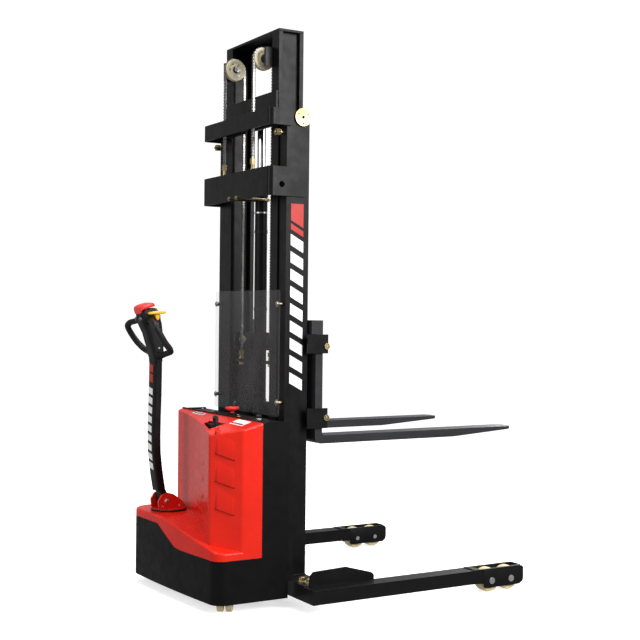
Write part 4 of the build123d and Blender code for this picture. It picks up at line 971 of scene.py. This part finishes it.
# ---------------------------------------------------------------- floor, light and camera
# a bowl of paper in metres: flat floor, curved foot, upright wall
FLAT, CURVE, CURVE_STEPS, AROUND = 9.0, 6.0, 10, 96
bm = bmesh.new()
profile = [(0.0, 0.0), (3.0, 0.0), (6.0, 0.0), (FLAT, 0.0)]
for k in range(1, CURVE_STEPS + 1):
    a = math.pi / 2 * k / CURVE_STEPS
    profile.append((FLAT + CURVE * math.sin(a), CURVE - CURVE * math.cos(a)))
profile.append((15.0, 14.0))
rings = []
for radius, height in profile:
    if radius == 0:
        rings.append([bm.verts.new((0, 0, height))])
        continue
    ring = []
    for i in range(AROUND):
        a = 2 * math.pi * i / AROUND
        ring.append(bm.verts.new((radius * math.cos(a), radius * math.sin(a), height)))
    rings.append(ring)
for first, second in zip(rings, rings[1:]):
    for i in range(AROUND):
        j = (i + 1) % AROUND
        corners = [first[i % len(first)], first[j % len(first)], second[j], second[i]]
        bm.faces.new(list(dict.fromkeys(corners)))
bmesh.ops.recalc_face_normals(bm, faces=bm.faces)
mesh = bpy.data.meshes.new("studio_floor")
bm.to_mesh(mesh)
bm.free()
for polygon in mesh.polygons:
    polygon.use_smooth = True
floor = bpy.data.objects.new("studio_floor", mesh)
bpy.context.scene.collection.objects.link(floor)
mesh.materials.append(floor_paper())
floor.visible_shadow = False
floor.visible_glossy = False
floor.visible_diffuse = False

WORLD_STRENGTH = 0.42
world = bpy.data.worlds.new("studio")
bpy.context.scene.world = world
world.use_nodes = True
world.node_tree.nodes["Background"].inputs["Color"].default_value = (1, 1, 1, 1)
world.node_tree.nodes["Background"].inputs["Strength"].default_value = WORLD_STRENGTH


def softbox(name, place, target, size, power):
    """Rectangular light, unseen by the camera, turned to face target."""
    light = bpy.data.lights.new(name, "AREA")
    light.shape = "RECTANGLE"
    light.size, light.size_y = size
    light.energy = power
    lamp = bpy.data.objects.new(name, light)
    bpy.context.scene.collection.objects.link(lamp)
    lamp.location = place
    lamp.rotation_mode = "QUATERNION"
    lamp.rotation_quaternion = (Vector(place) - Vector(target)).to_track_quat("Z", "Y")
    lamp.visible_camera = False


softbox("key_right", (1.2, -5.2, 3.4), (0, 0, 1.0), (2.4, 3.2), 400)
softbox("top", (0.0, 0.0, 5.4), (0, 0, 0.5), (4.0, 4.0), 240)
softbox("front_left", (4.6, 2.8, 3.0), (0.2, 0, 1.0), (2.0, 3.0), 170)
softbox("rear_left", (-5.0, -0.6, 2.2), (-0.3, 0, 1.0), (1.2, 3.0), 62)

# the photograph's own view: focal length in pixels, place in truck mm, turns in degrees
FOCAL_PIXELS, PICTURE_PIXELS, SENSOR_WIDTH = 1180.1, 640, 36.0
CAMERA_PLACE = (-2366.16, -4610.30, 1203.45)
YAW, PITCH_UP, ROLL = 59.4534, -0.3123, 0.6023
cam_data = bpy.data.cameras.new("camera")
cam_data.sensor_width = SENSOR_WIDTH
cam_data.lens = FOCAL_PIXELS / PICTURE_PIXELS * SENSOR_WIDTH
cam_data.clip_end = 200
camera = bpy.data.objects.new("camera", cam_data)
bpy.context.scene.collection.objects.link(camera)
yaw, pitch, roll = math.radians(YAW), math.radians(PITCH_UP), math.radians(ROLL)
look = Vector((math.cos(yaw) * math.cos(pitch), math.sin(yaw) * math.cos(pitch), math.sin(pitch)))
right = Vector((math.sin(yaw), -math.cos(yaw), 0))
up = right.cross(look)
cam_right = right * math.cos(roll) + up * math.sin(roll)
cam_up = up * math.cos(roll) - right * math.sin(roll)
rotation = Matrix((cam_right, cam_up, -look)).transposed().to_4x4()
camera.matrix_world = Matrix.Translation(TO_ROW @ Vector(CAMERA_PLACE)) @ rotation
bpy.context.scene.camera = camera
bpy.context.scene.view_settings.view_transform = "Standard"
bpy.context.scene.view_settings.exposure = 0.0
